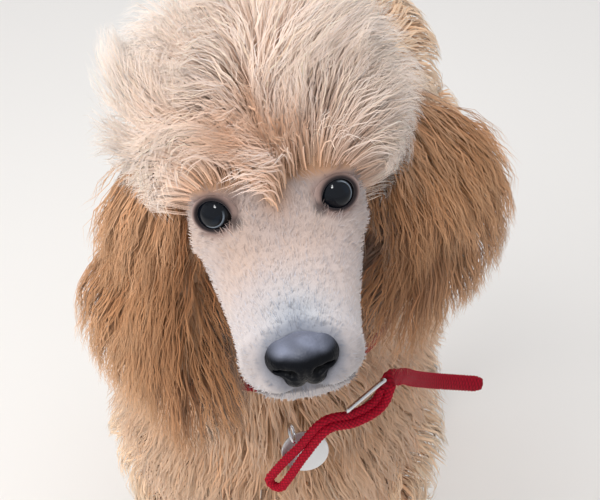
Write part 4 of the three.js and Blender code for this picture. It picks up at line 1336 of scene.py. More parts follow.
class PoodleTopknot(bpy.types.Operator):
    """Grow the topknot: soft brushed hair scissored round over the crown and brows"""

    bl_idname = "poodle.topknot"
    bl_label = "Topknot"

    def execute(self, context):
        c = coat_colours()
        count = sizes().topknot_hairs
        roots, out = skin_samples(head_skin(), count, 21, on_crown)
        draw = np.random.default_rng(22)
        start = to_head(roots)
        rise = out @ HEAD
        centre = np.array([0, 50, 12.0])
        way = unit(start - centre + rise * 14)
        uneven = 1 + 0.045 * ripple(roots, 34, 5) + 0.026 * ripple(roots, 14, 6)
        reach = TOPKNOT_RADII * (uneven * draw.normal(1, 0.028, count))[:, None]
        # Brushed out at the sides and down over the brow, in soft swirls on top
        side = np.sign(way[:, 0]) * ease(np.abs(way[:, 0]), 0.05, 0.45)
        low = 1 - ease(way[:, 2], -0.05, 0.45)
        flow = np.column_stack([0.45 * side, -0.1 - 0.3 * low, 0.1 - 0.75 * low])
        swirl = ripple_ways(roots, 50, 31)
        curl = ripple_ways(roots, 21, 35)
        flow = flow + swirl * (1.25 - 0.6 * low)[:, None] + 0.7 * curl
        flow = flow - way * np.sum(flow * way, axis=1, keepdims=True)
        flow = flow / np.maximum(np.linalg.norm(flow, axis=1, keepdims=True), 0.8)
        tips = TOPKNOT_CENTRE + unit(way + 0.34 * flow) * reach
        tips[:, 2] -= 8 * low * ease(-way[:, 1], 0.4, 0.85)
        bend = start + rise * 10 + (TOPKNOT_CENTRE + way * reach - start) * 0.66
        s = np.linspace(0, 1, 6)[None, :, None]
        curve = (1 - s) ** 2 * start[:, None] + 2 * s * (1 - s) * bend[:, None] + s**2 * tips[:, None]
        paths = from_head(curve)
        paths, _ = gathered(paths, 80, 0.1, 0.4, 28)
        paths, lock = gathered(paths, 12, 0.2, 0.36, 23)
        paths = waved(paths, lock, 2.2, 25, 24, 0.8)
        paths = waved(paths, np.arange(count), 1.8, 19, 30)
        paths = off_brow(paths)
        paths[:, 0] -= out * 1.5
        end = to_head(paths[:, -1])
        pale = np.maximum(ease(end[:, 2], 30, 95), ease(np.abs(end[:, 0]), 26, 74))
        warm = 0.5 + 0.5 * ripple(roots, 34, 27)
        tip = mix(mix(c.cream, c.blush, 0.9 * warm), c.cream, pale)
        root = mix(c.peach, c.blush, 0.3 + 0.7 * pale)
        middle = mix(c.blush, tip, 0.35 + 0.4 * pale)
        lighter = draw.uniform(0, 1, count) * (0.2 + 0.3 * pale)
        # Pale locks, and deeper creases that get painted shade, as the photograph shows them
        shown = unit((end - TOPKNOT_CENTRE) / TOPKNOT_RADII)
        for spot, size in PALE_LOCKS:
            lighter = np.maximum(lighter, 1 - ease(np.linalg.norm(shown - spot, axis=1), 0.3 * size, size))
        tip = mix(tip, c.silver, lighter)
        for spot, size in CREASE_SHADE_LOCKS:
            # Painted shade: tips and middles darken toward apricot in the creases between puffs
            deep = 1 - ease(np.linalg.norm(shown - spot, axis=1), 0.2 * size, size)
            tip, middle = (mix(tone, c.apricot, 0.6 * deep) for tone in (tip, middle))
        colours = shaded(root, middle, tip, 6, 25, 0.045)
        paths, width, order = layered(paths, 29, (0.28, 0.46), (0.8, 1.2), 0.36, 0.86)
        patches = ball_map(start, centre, np.ones(3))
        outward = way @ HEAD.T
        sideways = loose_sideways(outward, 26, order)
        hair_pieces("coat_topknot", paths, width, colours, patches, sideways, unit(outward + 0.4 * UP))
        return {"FINISHED"}


class PoodleEars(bpy.types.Operator):
    """Grow the ears' long wavy hair"""

    bl_idname = "poodle.ears"
    bl_label = "Ears"

    def execute(self, context):
        c = coat_colours()
        count = sizes().ear_hairs
        for side, name in SIDE_NAMES.items():
            form = EARS[side]
            t, angle, roots = scattered(form, count, 40 + side, 0.0, 0.97)
            out = form.outward(t, angle)
            draw = np.random.default_rng(42 + side)
            length = (56 - 18 * t) * draw.uniform(0.82, 1.08, len(t))
            close = 1 - ease(t, 0.05, 0.4)
            inner = 1 - ease((roots - form.at(t)[:, :3]) @ HANG_LEFT * side, -16, 6)
            length = length * (1 + 0.55 * inner * ease(t, 0.3, 0.8))
            lie = DOWN + HANG_LEFT * side * (0.12 - 0.85 * inner * ease(t, 0.2, 0.7))[:, None]
            paths = grown(roots - out * 1.5, out, lie, length, 6, (40 + 24 * close, 84), 1.1)
            paths, _ = gathered(paths, 70, 0.1, 0.45, 56 + side)
            paths, lock = gathered(paths, 11, 0.3, 0.55, 44 + side)
            paths = waved(paths, lock, 2.8, 27, 46 + side, 0.6)
            paths = waved(paths, np.arange(len(t)), 1.2, 18, 60 + side)
            paths = off_collar(paths)
            patch = 0.5 + 0.5 * ripple(roots, 16, 48 + side)
            # Partly hair colour and partly painted shade: the hair on the side that hangs by the face is
            # darker
            middle = mix(c.ear_mid, c.ear_dark, inner * (0.25 + 0.45 * patch))
            tip = mix(c.ear_tip, c.ear_mid, 0.9 * inner)
            high = 1 - ease(t, 0.0, 0.35)
            middle = mix(middle, c.peach, 0.45 * high * (1 - inner))
            tip = mix(tip, c.chest_tip, 0.5 * high * (1 - inner))
            tone = 1 + 0.07 * np.random.default_rng(50).normal(size=lock.max() + 1)[lock]
            root = mix(c.ear_dark, middle, np.full(len(t), 0.5))
            colours = shaded(root, middle, tip, 6, 52 + side, 0.05) * tone[:, None, None]
            paths, width, order = layered(paths, 58 + side, (0.32, 0.52), (0.9, 1.3), 0.4, 0.9)
            patches = np.column_stack([(angle / (2 * math.pi)) % 1, t])
            sideways = loose_sideways(out, 54, order)
            hair_pieces(f"coat_ear_{name}", paths, width, colours, patches, sideways, out)
        return {"FINISHED"}


def clear_of_face(places):
    """Where short hair grows on the head: not on the crown, eyes or nose, and not inside the neck."""
    p = to_head(places)
    clear = ~on_crown(places) & (p[:, 1] < 84)
    from_nose = np.linalg.norm((p - NOSE_CENTRE) / (NOSE_WIDTH / 2, 13, 13.5), axis=1)
    clear &= from_nose > np.where(p[:, 2] > -28, 0.9, 1.04)
    for side in SIDES:
        centre, gaze, right, up = eye_axes(side)
        away = places - centre
        wide = np.hypot(away @ right / 1.15, away @ up)
        clear &= ~((wide < 8.9) & (away @ gaze > -6))
    return clear


class PoodleFace(bpy.types.Operator):
    """Grow the short clipped hair of the face and jaws"""

    bl_idname = "poodle.face"
    bl_label = "Face hair"

    def execute(self, context):
        c = coat_colours()
        count = sizes().face_hairs
        roots, out = skin_samples(head_skin(), count, 61, clear_of_face)
        draw = np.random.default_rng(62)
        p = to_head(roots)
        lie = np.tile(HEAD @ np.array([0, 1.0, 0]), (count, 1))
        away = p - NOSE_CENTRE
        lie = lie + (unit(away) @ HEAD.T) * (1.2 * np.exp(-np.linalg.norm(away, axis=1) / 26))[:, None]
        for side in SIDES:
            eye = roots - eye_axes(side)[0]
            lie = lie + unit(eye) * (1.6 * np.exp(-np.linalg.norm(eye, axis=1) / 11))[:, None]
        lie = lie + DOWN * (0.5 * ease(-p[:, 2], 30, 60))[:, None]
        lie = lie + 0.22 * draw.normal(size=lie.shape)
        length = 3.2 + 1.6 * ease(p[:, 1], -70, 10) + 4.5 * ease(p[:, 1], 26, 60)
        length = length + 2.5 * ease(brow_height(p), 6, 12) * (p[:, 1] < 40)
        # Dark hairs mixed with pale ones fan up from the nose, and lie round the lips
        fan = np.exp(-((p[:, 0] / (9 + 0.1 * np.maximum(p[:, 1] + 92, 0))) ** 2))
        fan = fan * ease(-p[:, 1], 45, 88) * (p[:, 2] > -34)
        lip = 1 - ease(distance_to_path(p, mouth_path()), 2, 7)
        dark = draw.uniform(0, 1, count) < 0.7 * fan + 0.35 * lip * ease(-p[:, 1], 60, 96)
        length = length * draw.uniform(0.7, 1.2, count) * np.where(dark, 1.6, 1)
        paths = grown(roots - out * 0.5, out, lie, length, 4, (56, 78))
        base = face_colour(roots)
        base = mix(base, c.whisker, 0.7 * dark * draw.uniform(0.5, 1, count))
        colours = shaded(base * 0.97, base, np.minimum(base * 1.03, 1), 4, 63, 0.035)
        width = draw.uniform(0.38, 0.62, count) * np.where(dark, 0.65, 1)
        patches = ball_map(p, np.array([0, 20, -20.0]), np.array([1, 2.2, 1.0]))
        hair_pieces("coat_face", paths, width, colours, patches, loose_sideways(out, 64, 0.8), out)
        return {"FINISHED"}


def body_hair(name, form, count, seed, tones, where, along, style):
    """Wavy hair over a form of the body, in loose locks that fall along its lie."""
    t, angle, spots = scattered(form, count, seed, *style["span"], where)
    near, roots, out = on_skin(skin_tree(), spots, 9)
    t, angle, roots, out = t[near], angle[near], roots[near], out[near]
    draw = np.random.default_rng(seed + 1)
    points = style["points"]
    lie = along + 0.35 * ripple_ways(roots, 70, seed)
    lie = lie + style["swirl"] * ripple_ways(roots, 24, seed + 20)
    length = np.maximum(form.at(t)[:, 6] * style["length"], 7) * draw.uniform(0.86, 1.08, len(t))
    paths = grown(roots - out * 2, out, lie, length, points, style["lift"], 0.25)
    paths, _ = gathered(paths, 6 * style["lock"], 0.15, 0.4, seed + 6)
    paths, lock = gathered(paths, style["lock"], style["pull"], 0.6, seed + 2)
    paths = waved(paths, lock, style["wave"], style["curl"], seed + 3, 0.6)
    paths = off_collar(paths)
    root, middle, tip = coat_depths(roots, *tones)
    tone = 1 + 0.05 * draw.normal(size=lock.max() + 1)[lock]
    colours = shaded(root, middle, tip, points, seed + 4, 0.05) * tone[:, None, None]
    patches = np.column_stack([(angle / (2 * math.pi)) % 1, t])
    paths, width, order = layered(paths, seed + 7, *style["widths"])
    sideways = loose_sideways(out, seed + 5, order)
    hair_pieces(name, paths, width, colours, patches, sideways, out, taper=0.3, soft=style["soft"])


# Styles of the coat. Lengths are shares of the coat's depth. Widths are for fine and for broad tufts, with the
# share of broad ones. Lock is how many tufts gather in one lock.
PLAIN = {"span": (0.0, 1.0), "pull": 0.35, "curl": 20, "swirl": 0, "soft": 4.0}
WAVY = PLAIN | {
    "points": 6,
    "length": 1.3,
    "widths": ((0.6, 0.95), (1.6, 2.3), 0.6),
    "lock": 11,
    "wave": 3.6,
    "lift": (4, 84),
}
FULL = PLAIN | {
    "points": 5,
    "length": 1.55,
    "widths": ((0.9, 1.4), (2.4, 3.4), 0.45),
    "lock": 12,
    "pull": 0.6,
    "wave": 2.4,
    "curl": 30,
    "lift": (-6, 118),
    "swirl": 0.7,
    "soft": 1.8,
}
LEG = FULL | {"length": 1.4, "lock": 9, "swirl": 0.5}
CLIPPED = PLAIN | {
    "points": 4,
    "length": 0.34,
    "widths": ((0.6, 1.0), (1.8, 2.6), 0.3),
    "lock": 6,
    "wave": 0.6,
    "lift": (35, 76),
}


class PoodleNeck(bpy.types.Operator):
    """Grow the curly hair of the neck and breast, and the short hair of the throat"""

    bl_idname = "poodle.neck"
    bl_label = "Neck and breast"

    def execute(self, context):
        c = coat_colours()
        tones = (c.apricot, c.peach, c.chest_tip)
        count = sizes().neck_hairs

        def full(spots, t, angle):
            return ~((np.sin(angle) > 0.78) & (t > 0.64))

        def breast(spots, t, angle):
            return (spots[:, 1] < -130) & (spots[:, 2] > 330)

        def throat(spots, t, angle):
            return (np.sin(angle) > 0.74) & (t > 0.58)

        lie = DOWN + (0, 0.1, 0)
        body_hair("coat_neck", NECK, count // 2, 70, tones, full, lie, WAVY | {"span": (0.12, 0.97)})
        body_hair("coat_breast", TORSO, count // 2, 80, tones, breast, lie, WAVY | {"span": (0, 0.4)})
        body_hair("coat_throat", NECK, count // 6, 90, tones, throat, lie, CLIPPED | {"span": (0.45, 0.97)})
        return {"FINISHED"}


class PoodleBody(bpy.types.Operator):
    """Grow the wavy hair of the trunk"""

    bl_idname = "poodle.body"
    bl_label = "Trunk hair"

    def execute(self, context):
        c = coat_colours()

        def trunk(spots, t, angle):
            return spots[:, 1] > -165

        tones = (c.apricot, c.peach, c.body_tip)
        lie = DOWN + (0, 0.4, 0)
        body_hair("coat_trunk", TORSO, sizes().body_hairs, 100, tones, trunk, lie, FULL | {"span": (0.1, 1)})
        return {"FINISHED"}


class PoodleLegs(bpy.types.Operator):
    """Grow the wavy hair of the legs and the short hair of the feet"""

    bl_idname = "poodle.legs"
    bl_label = "Leg and foot hair"

    def execute(self, context):
        c = coat_colours()
        tones = (c.apricot, c.peach, c.body_tip)

        def off_foot(spots, t, angle):
            return spots[:, 2] > FOOT_TOP + 2

        for i, ((leg, side), form) in enumerate(LEGS.items()):
            name = f"coat_{leg}_{SIDE_NAMES[side]}"
            body_hair(name, form, sizes().leg_hairs, 110 + 10 * i, tones, off_foot, DOWN, LEG)
        for i, ((leg, side), ankle) in enumerate(ANKLES.items()):
            name = f"coat_{leg}foot_{SIDE_NAMES[side]}"
            self.foot(name, ankle, 170 + 5 * i)
        return {"FINISHED"}

    def foot(self, name, ankle, seed):
        c = coat_colours()
        count = sizes().foot_hairs
        roots, out = skin_samples(foot_skin(ankle), count, seed, lambda spots: spots[:, 2] > 3)
        draw = np.random.default_rng(seed + 1)
        lie = DOWN + (0, -0.8, 0) + 0.25 * draw.normal(size=(count, 3))
        length = (4.5 + 5 * ease(roots[:, 2], 34, 60)) * draw.uniform(0.8, 1.2, count)
        paths = grown(roots - out * 0.5, out, lie, length, 4, (50, 76))
        paths[..., 2] = np.maximum(paths[..., 2], 0.8)
        base = skin_colour(roots)
        tip = mix(base, c.body_tip, np.full(count, 0.4))
        colours = shaded(base, base, tip, 4, seed + 2, 0.05)
        patches = ball_map(roots, np.array([*ankle, 25.0]), np.ones(3))
        width = draw.uniform(0.6, 1.0, count)
        hair_pieces(name, paths, width, colours, patches, loose_sideways(out, seed + 3, 0.7), out)


class PoodleTail(bpy.types.Operator):
    """Grow the tail's pompon"""

    bl_idname = "poodle.tail"
    bl_label = "Pompon"

    def execute(self, context):
        c = coat_colours()
        count = sizes().tail_hairs
        draw = np.random.default_rng(150)
        i = np.arange(count)
        high = 1 - (2 * i + 1) / count
        spin = i * math.pi * (3 - math.sqrt(5))
        level = np.sqrt(1 - high**2)
        way = np.column_stack([level * np.cos(spin), level * np.sin(spin), high])
        way = unit(way + 0.05 * draw.normal(size=way.shape))
        core = POMPON_RADII - POMPON_COAT
        roots = POMPON_CENTRE + way * (core - 2)
        length = POMPON_COAT * draw.uniform(1.12, 1.3, count)
        swirl = ripple_ways(roots, 26, 155)
        paths = grown(roots, way, UP * 0.2 + 1.6 * swirl, length * 1.25, 6, (-10, 105))
        paths, lock = gathered(paths, 8, 0.3, 0.55, 151)
        paths = waved(paths, lock, 3.0, 24, 152, 0.7)
        root, middle, tip = coat_depths(roots, c.apricot, c.peach, c.body_tip)
        colours = shaded(root, middle, tip, 6, 153, 0.05)
        paths, width, order = layered(paths, 156, (0.8, 1.4), (2.2, 3.2), 0.3)
        patches = ball_map(roots, POMPON_CENTRE, np.ones(3))
        hair_pieces("coat_pompon", paths, width, colours, patches, loose_sideways(way, 154, order), way)

        def bare(spots, t, angle):
            return spots[:, 2] > 520

        body_hair("coat_tail", TAIL, count // 2, 160, (c.apricot, c.peach, c.body_tip), bare, UP, CLIPPED)
        return {"FINISHED"}


# Collar: the cord round the neck, the strap with its looped end, the slide, ring and tag
COLLAR_T = 0.49
COLLAR_DEPTH = 0.62
COLLAR_CORD = 7
STRAP_WIDTH = 11.6
STRAP_THICKNESS = 4
STRAP_ROUTE = [
    (148, -205, 458),
    (133, -215, 466),
    (117, -231, 479),
    (104, -257, 501),
    (95, -289, 528),
    (89, -305, 537),
    (85, -311, 526),
    (70, -323, 521),
    (56, -333, 524),
    (39.3, -334.5, 501),
    (23, -331.5, 471),
]
STRAP_TURN = (87, -308, 532)
SLIDE_CORNERS = np.array([(66, -327, 530), (87, -317, 548), (84, -299, 525), (65, -313, 508.0)])
SLIDE_WIRE = 1.5
TAG_CENTRE = np.array([40.3, -324.3, 492.4])
TAG_RADIUS = 14.6
TAG_THICKNESS = 1.6
TAG_FACING = np.array([0.2, -0.97, 0.12])
RING_CENTRE = np.array([33, -331.2, 512.3])
RING_RADIUS = 5.5
RING_WIRE = 0.9


def route(points, count):
    """A smooth curve through points, as evenly spaced places."""
    points = np.asarray(points, float)
    knots = np.concatenate([[0], np.cumsum(np.linalg.norm(np.diff(points, axis=0), axis=1))])
    slopes = np.gradient(points, knots, axis=0)
    fine = np.linspace(0, knots[-1], count * 6)
    curve = along_curve(points, knots, slopes, fine)
    length = np.concatenate([[0], np.cumsum(np.linalg.norm(np.diff(curve, axis=0), axis=1))])
    even = np.linspace(0, length[-1], count)
    return np.column_stack([np.interp(even, length, curve[:, k]) for k in range(3)])


def cord_path(angle):
    """The middle line of the cord, which lies in the neck's coat, at angles round the neck."""
    t = np.full(len(angle), COLLAR_T)
    return NECK.point(t, angle, NECK.at(t)[:, 6] * COLLAR_DEPTH)


def tube(bm, path, facing, wide, thick, sides, closed=False, braid=0.0, bright=1.0):
    """A tube of oval section along a path, its broad side to facing, laid in plaits where braid is set, its
    tint scaled by bright, which paints shade where it is below 1.
    """
    path = np.asarray(path)
    if closed:
        ahead = unit(np.roll(path, -1, axis=0) - np.roll(path, 1, axis=0))
    else:
        ahead = unit(np.gradient(path, axis=0))
    side = unit(np.cross(np.broadcast_to(facing, path.shape), ahead))
    over = np.cross(ahead, side)
    steps = np.linalg.norm(np.diff(path, axis=0), axis=1)
    along = np.concatenate([[0], np.cumsum(steps)])
    wide = np.broadcast_to(wide, len(path))
    tint = bm.verts.layers.float_color.get("tint") or bm.verts.layers.float_color.new("tint")
    loops = []
    for i, spot in enumerate(path):
        ring = bmesh.ops.create_circle(bm, cap_ends=False, segments=sides, radius=1)["verts"]
        for k, vertex in enumerate(ring):
            angle = 2 * math.pi * k / sides
            height = plaited(along[i], angle) if braid else 1
            vertex[tint] = (height * bright, height * bright, height * bright, 1)
            plait = 1 + braid * (height - 0.5)
            vertex.co = spot + side[i] * (wide[i] / 2 * plait * math.cos(angle)) + over[i] * (
                thick / 2 * plait * math.sin(angle)
            )
        loops.append(ring)
    for a, b in zip(loops, loops[1:] + (loops[:1] if closed else [])):
        edges = [edge for ring in (a, b) for v in ring for edge in v.link_edges if edge.other_vert(v) in ring]
        bmesh.ops.bridge_loops(bm, edges=list(dict.fromkeys(edges)))
    if not closed:
        bmesh.ops.holes_fill(bm, edges=[e for e in bm.edges if e.is_boundary], sides=sides + 1)


# Drawn coarser than the real weave, so that it still shows at the size of the picture
PLAIT = 2.9
PLAIT_STRANDS = 6


def plaited(along, angle):
    """How high a braid's crossing strands stand round a cord, from 0 between them to 1 on their backs."""
    across = PLAIT_STRANDS * angle / (2 * math.pi)
    run = along / PLAIT
    left, right = across - run, across + run
    over = (math.floor(left) + math.floor(right)) % 2 == 0
    strand = left if over else right
    other = right if over else left
    back = math.sin(math.pi * (strand % 1)) ** 0.8
    return back * (0.3 + 0.7 * math.sin(math.pi * (other % 1)))


def bmesh_piece(name, bm, material, slot, *nodes):
    bmesh.ops.remove_doubles(bm, verts=bm.verts, dist=1e-4)
    bmesh.ops.recalc_face_normals(bm, faces=bm.faces)
    mesh = mesh_from(bm, name)
    set_vertices(mesh, in_frame(vertices_of(mesh)))
    keep(new_object(name, mesh), material, slot, *nodes)


class PoodleCollar(bpy.types.Operator):
    """Make the collar: a braided cord, a strap with a looped end, and its polished slide"""

    bl_idname = "poodle.collar"
    bl_label = "Collar"

    def execute(self, context):
        braid = self.braid()
        angle = np.linspace(0, 2 * math.pi, 560, endpoint=False)
        path = cord_path(angle)
        bm = bmesh.new()
        centre = NECK.at(COLLAR_T)[0, :3]
        outward = unit(path - centre)
        # Painted shade: the cord's braid is dimmed to 0.7 of the looped end's brightness
        tube(bm, path, outward, COLLAR_CORD, COLLAR_CORD, 24, closed=True, braid=0.2, bright=0.7)
        bmesh_piece("collar_cord", bm, braid, "braid", "collar_band")

        points = route(STRAP_ROUTE, 300)
        turn = int(np.linalg.norm(points - STRAP_TURN, axis=1).argmin())
        bm = bmesh.new()
        first = points[:turn]
        full = STRAP_WIDTH - 1
        wide = np.interp(np.arange(turn), [0, 6, turn - 12, turn - 1], [8, full, full, 9])
        # Painted shade: the strap's braid is dimmed to 0.72 of the looped end's brightness
        tube(bm, first, GAZE, wide, STRAP_THICKNESS, 28, braid=0.16, bright=0.72)
        # The free end is the cord doubled back, its two runs side by side and open near the bend
        second = points[turn - 6 :]
        share = np.linspace(0, 1, len(second))
        across = unit(np.cross(GAZE, unit(np.gradient(second, axis=0))))
        apart = (2.65 + 2.0 * ease(share, 0.6, 0.97))[:, None]
        one, other = second + across * apart, second - across * apart
        tip = unit(second[-1] - second[-2])
        bend = [
            second[-1] + across[-1] * apart[-1] * math.cos(a) + tip * 3.8 * math.sin(a)
            for a in np.linspace(0, math.pi, 9)[1:-1]
        ]
        doubled = route(np.concatenate([one[::6], bend, other[::-6]]), 380)
        tube(bm, doubled, GAZE, 5.4, STRAP_THICKNESS + 0.4, 24, braid=0.3)
        bmesh_piece("collar_braid", bm, braid, "braid", "collar_strap")

        corners = SLIDE_CORNERS
        rounded = []
        for i, corner in enumerate(corners):
            before, after = corners[i - 1], corners[(i + 1) % 4]
            for share in np.linspace(0, 1, 7):
                a = corner + unit(before - corner) * 3.2 * (1 - share)
                b = corner + unit(after - corner) * 3.2 * share
                rounded.append(a * (1 - share) + b * share)
        bm = bmesh.new()
        over = unit(np.cross(corners[1] - corners[0], corners[2] - corners[1]))
        tube(bm, rounded, over, 2 * SLIDE_WIRE * 1.15, 2 * SLIDE_WIRE, 16, closed=True)
        bmesh_piece("slide_wire", bm, polished_steel(), "steel", "collar_slide")
        return {"FINISHED"}

    def braid(self):
        """Woven polyester cord: strands of bright yarn with shade between them."""
        c = collar_colours()
        material, tree = new_material("red_braid")
        place = node_in(tree, "ShaderNodeTexCoord")
        # Yarn about 0.45 mm thick
        object_place = {"Vector": place.outputs["Object"]}
        yarn = node_in(tree, "ShaderNodeTexNoise", object_place, Scale=1 / (0.45 * MM), Detail=2.0)
        height = node_in(tree, "ShaderNodeVertexColor", layer_name="tint")
        shade = node_in(tree, "ShaderNodeMix", {0: height.outputs["Color"]}, data_type="RGBA")
        shade.inputs[6].default_value = (*c.braid_dark, 1)
        shade.inputs[7].default_value = (*c.braid, 1)
        shaded_by = {0: yarn.outputs["Fac"], 6: shade.outputs[2]}
        speck = node_in(tree, "ShaderNodeMix", shaded_by, data_type="RGBA", blend_type="MULTIPLY")
        speck.inputs[7].default_value = (0.7, 0.62, 0.62, 1)
        height = {"Height": yarn.outputs["Fac"]}
        bump = node_in(tree, "ShaderNodeBump", height, Strength=0.5, Distance=0.2 * MM)
        finish_surface(
            tree,
            {"Base Color": speck.outputs[2], "Normal": bump.outputs["Normal"]},
            Roughness=0.7,
            IOR=1.5,
            Specular_IOR_Level=0.15,
        )
        return material


@functools.cache
def polished_steel():
    """Polished plated steel wire, nearly a mirror, with faint handling marks."""
    material, tree = new_material("polished_steel")
    place = node_in(tree, "ShaderNodeTexCoord")
    object_place = {"Vector": place.outputs["Object"]}
    marks = node_in(tree, "ShaderNodeTexNoise", object_place, Scale=1 / (2.5 * MM), Detail=4.0)
    rough = node_in(tree, "ShaderNodeMapRange", {"Value": marks.outputs["Fac"]})
    rough.inputs["To Min"].default_value = 0.1
    rough.inputs["To Max"].default_value = 0.26
    colour = (*collar_colours().steel, 1)
    finish_surface(tree, {"Roughness": rough.outputs[0]}, Base_Color=colour, Metallic=1.0)
    return material


class PoodleTag(bpy.types.Operator):
    """Make the split ring and the blank round tag"""

    bl_idname = "poodle.tag"
    bl_label = "Ring and tag"

    def execute(self, context):
        normal = unit(np.array([0.9, 0.1, 0.3]))
        first = unit(np.cross(normal, UP))
        second = np.cross(normal, first)
        bm = bmesh.new()
        turns = np.linspace(0, 2 * math.pi, 48, endpoint=False)
        path = RING_CENTRE + RING_RADIUS * (np.outer(np.cos(turns), first) + np.outer(np.sin(turns), second))
        tube(bm, path, unit(path - RING_CENTRE), 2 * RING_WIRE, 2 * RING_WIRE, 12, closed=True)
        bmesh_piece("split_ring", bm, polished_steel(), "steel", "tag_ring")

        bm = bmesh.new()
        radii = {"radius1": TAG_RADIUS, "radius2": TAG_RADIUS}
        bmesh.ops.create_cone(bm, cap_ends=True, segments=72, depth=TAG_THICKNESS, **radii)
        rim = [e for e in bm.edges if abs(e.verts[0].co.z - e.verts[1].co.z) < 1e-6]
        bmesh.ops.bevel(
            bm,
            geom=rim,
            offset=0.4,
            offset_type="OFFSET",
            segments=3,
            profile=0.5,
            affect="EDGES",
            material=-1,
        )
        facing = unit(TAG_FACING)
        right = unit(np.cross(UP, facing))
        up = np.cross(facing, right)
        for vertex in bm.verts:
            x, y, z = vertex.co
            vertex.co = TAG_CENTRE + right * x + up * y + facing * z
        bmesh_piece("blank_tag", bm, self.brushed(), "steel", "tag")
        return {"FINISHED"}

    def brushed(self):
        """Stamped stainless blank, softly brushed, dulled by wear."""
        material, tree = new_material("brushed_tag")
        place = node_in(tree, "ShaderNodeTexCoord")
        stretch = node_in(tree, "ShaderNodeMapping", {"Vector": place.outputs["Object"]})
        stretch.inputs["Scale"].default_value = (1, 0.1, 0.1)
        stretched = {"Vector": stretch.outputs[0]}
        lines = node_in(tree, "ShaderNodeTexNoise", stretched, Scale=1 / (0.3 * MM), Detail=3.0)
        height = {"Height": lines.outputs["Fac"]}
        bump = node_in(tree, "ShaderNodeBump", height, Strength=0.15, Distance=0.1 * MM)
        finish_surface(
            tree,
            {"Normal": bump.outputs["Normal"]},
            Base_Color=(*collar_colours().tag, 1),
            Metallic=0.85,
            Roughness=0.42,
        )
        return material


WHITE = (1.0, 1.0, 1.0)
AIR_STRENGTH = 0.72
# The way from the eyes to the camera
CAMERA_WAY = np.array([0.117, -0.8305, 0.5446])
SENSOR = 36
FRAME_WIDTH = 600
# The eyes' middle as the photograph shows it, and how far the frame's middle lies right of and above it in
# pixels. A negative number means left of it or below it.
EYES_MIDDLE_SEEN = np.array([3.73 + HEAD_ASIDE, -396.77, 722.49])
EYES_PIXEL = (24, -49)


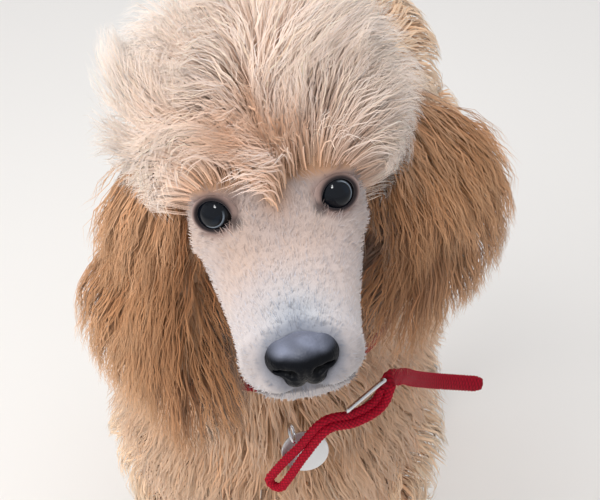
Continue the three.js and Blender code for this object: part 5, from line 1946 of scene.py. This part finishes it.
class PoodleStudio(bpy.types.Operator):
    """Set the floor, the light and the camera"""

    bl_idname = "poodle.studio"
    bl_label = "Studio"

    def execute(self, context):
        studio = context.scene.poodle_studio
        self.camera(studio)
        bm = bmesh.new()
        bmesh.ops.create_circle(bm, cap_ends=True, segments=96, radius=40)
        mesh = mesh_from(bm, "floor")
        material, tree = new_material("pale_matt_floor")
        place = node_in(tree, "ShaderNodeTexCoord")
        object_place = {"Vector": place.outputs["Object"]}
        cloud = node_in(tree, "ShaderNodeTexNoise", object_place, Scale=1.5, Detail=3.0)
        shade = node_in(tree, "ShaderNodeMix", {0: cloud.outputs["Fac"]}, data_type="RGBA")
        shade.inputs[6].default_value = (*np.array(studio.floor) * 0.97, 1)
        shade.inputs[7].default_value = (*studio.floor, 1)
        finish_surface(tree, {"Base Color": shade.outputs[2]}, Roughness=0.85)
        floor = new_object("floor", mesh)
        floor.data.materials.append(material)
        world = bpy.data.worlds.new("air")
        world.use_nodes = True
        background = world.node_tree.nodes["Background"]
        background.inputs["Color"].default_value = (*studio.air, 1)
        background.inputs["Strength"].default_value = AIR_STRENGTH
        context.scene.world = world
        head = Vector(in_frame(HEAD_ORIGIN))
        self.light("key", head, (-1.2, -1.0, 1.25), 2.4, studio.key_power, (1.0, 0.97, 0.93))
        self.light("fill", head, (1.3, -1.2, 0.6), 1.4, studio.fill_power, (0.95, 0.97, 1.0))
        self.light("top", Vector((0, 0, 0.5)), (0.1, 0.3, 1.9), 1.8, studio.top_power, WHITE)
        # Two small lamps give the eyes and nose their bright points
        self.light("spark", head, (-0.25, -0.85, 1.45), 0.4, studio.spark_power, WHITE)
        self.light("spark_high", head, (-0.35, -0.55, 1.7), 0.24, studio.spark_power / 4, WHITE)
        context.scene.view_settings.view_transform = "Standard"
        return {"FINISHED"}

    def light(self, name, target, away, size, power, colour):
        data = bpy.data.lights.new(name, "AREA")
        data.shape = "DISK"
        data.size = size
        data.energy = power
        data.color = colour
        lamp = bpy.data.objects.new(name, data)
        lamp.visible_glossy = name.startswith("spark")
        lamp.visible_diffuse = not lamp.visible_glossy
        bpy.context.scene.collection.objects.link(lamp)
        lamp.location = target + Vector(away)
        lamp.rotation_euler = Vector(away).to_track_quat("Z", "Y").to_euler()

    def camera(self, studio):
        """The photograph's view: from in front and above, the eyes a little up and left of the middle."""
        c = unit(CAMERA_WAY)
        right = unit(np.cross(UP, c))
        up = np.cross(c, right)
        pixels = studio.lens / SENSOR * FRAME_WIDTH
        eyes = in_frame(EYES_MIDDLE_SEEN)
        aim = -c + right * (EYES_PIXEL[0] / pixels) + up * (EYES_PIXEL[1] / pixels)
        data = bpy.data.cameras.new("camera")
        data.lens = studio.lens
        data.sensor_width = SENSOR
        data.dof.use_dof = False
        camera = bpy.data.objects.new("camera", data)
        bpy.context.scene.collection.objects.link(camera)
        camera.location = Vector(eyes + c * studio.eye_distance)
        camera.rotation_euler = Vector(-aim).to_track_quat("Z", "Y").to_euler()
        bpy.context.scene.camera = camera


class PoodlePanel(bpy.types.Panel):
    """Lists the poodle's pieces and settings"""

    bl_idname = "VIEW3D_PT_poodle"
    bl_label = "Standard Poodle"
    bl_space_type = "VIEW_3D"
    bl_region_type = "UI"
    bl_category = "Poodle"

    def draw(self, context):
        for operator in OPERATORS:
            self.layout.operator(operator.bl_idname)
        for group, _ in GROUPS:
            settings = getattr(context.scene, group)
            for name in settings.bl_rna.properties.keys():
                if name not in ("rna_type", "name"):
                    self.layout.prop(settings, name)


GROUPS = [
    ("poodle_sizes", PoodleSizes),
    ("poodle_coat", CoatColours),
    ("poodle_collar", CollarColours),
    ("poodle_studio", StudioSettings),
]
OPERATORS = [
    PoodleStudio,
    PoodleSkin,
    PoodleEyes,
    PoodleNose,
    PoodleClaws,
    PoodleTopknot,
    PoodleEars,
    PoodleFace,
    PoodleNeck,
    PoodleBody,
    PoodleLegs,
    PoodleTail,
    PoodleCollar,
    PoodleTag,
]


def register():
    for name, group in GROUPS:
        bpy.utils.register_class(group)
        setattr(bpy.types.Scene, name, PointerProperty(type=group))
    for made in [*OPERATORS, PoodlePanel]:
        bpy.utils.register_class(made)


def unregister():
    for made in [PoodlePanel, *reversed(OPERATORS)]:
        bpy.utils.unregister_class(made)
    for name, group in reversed(GROUPS):
        delattr(bpy.types.Scene, name)
        bpy.utils.unregister_class(group)


def main():
    register()
    for operator in OPERATORS:
        category, name = operator.bl_idname.split(".")
        getattr(getattr(bpy.ops, category), name)()


if __name__ == "__main__":
    main()
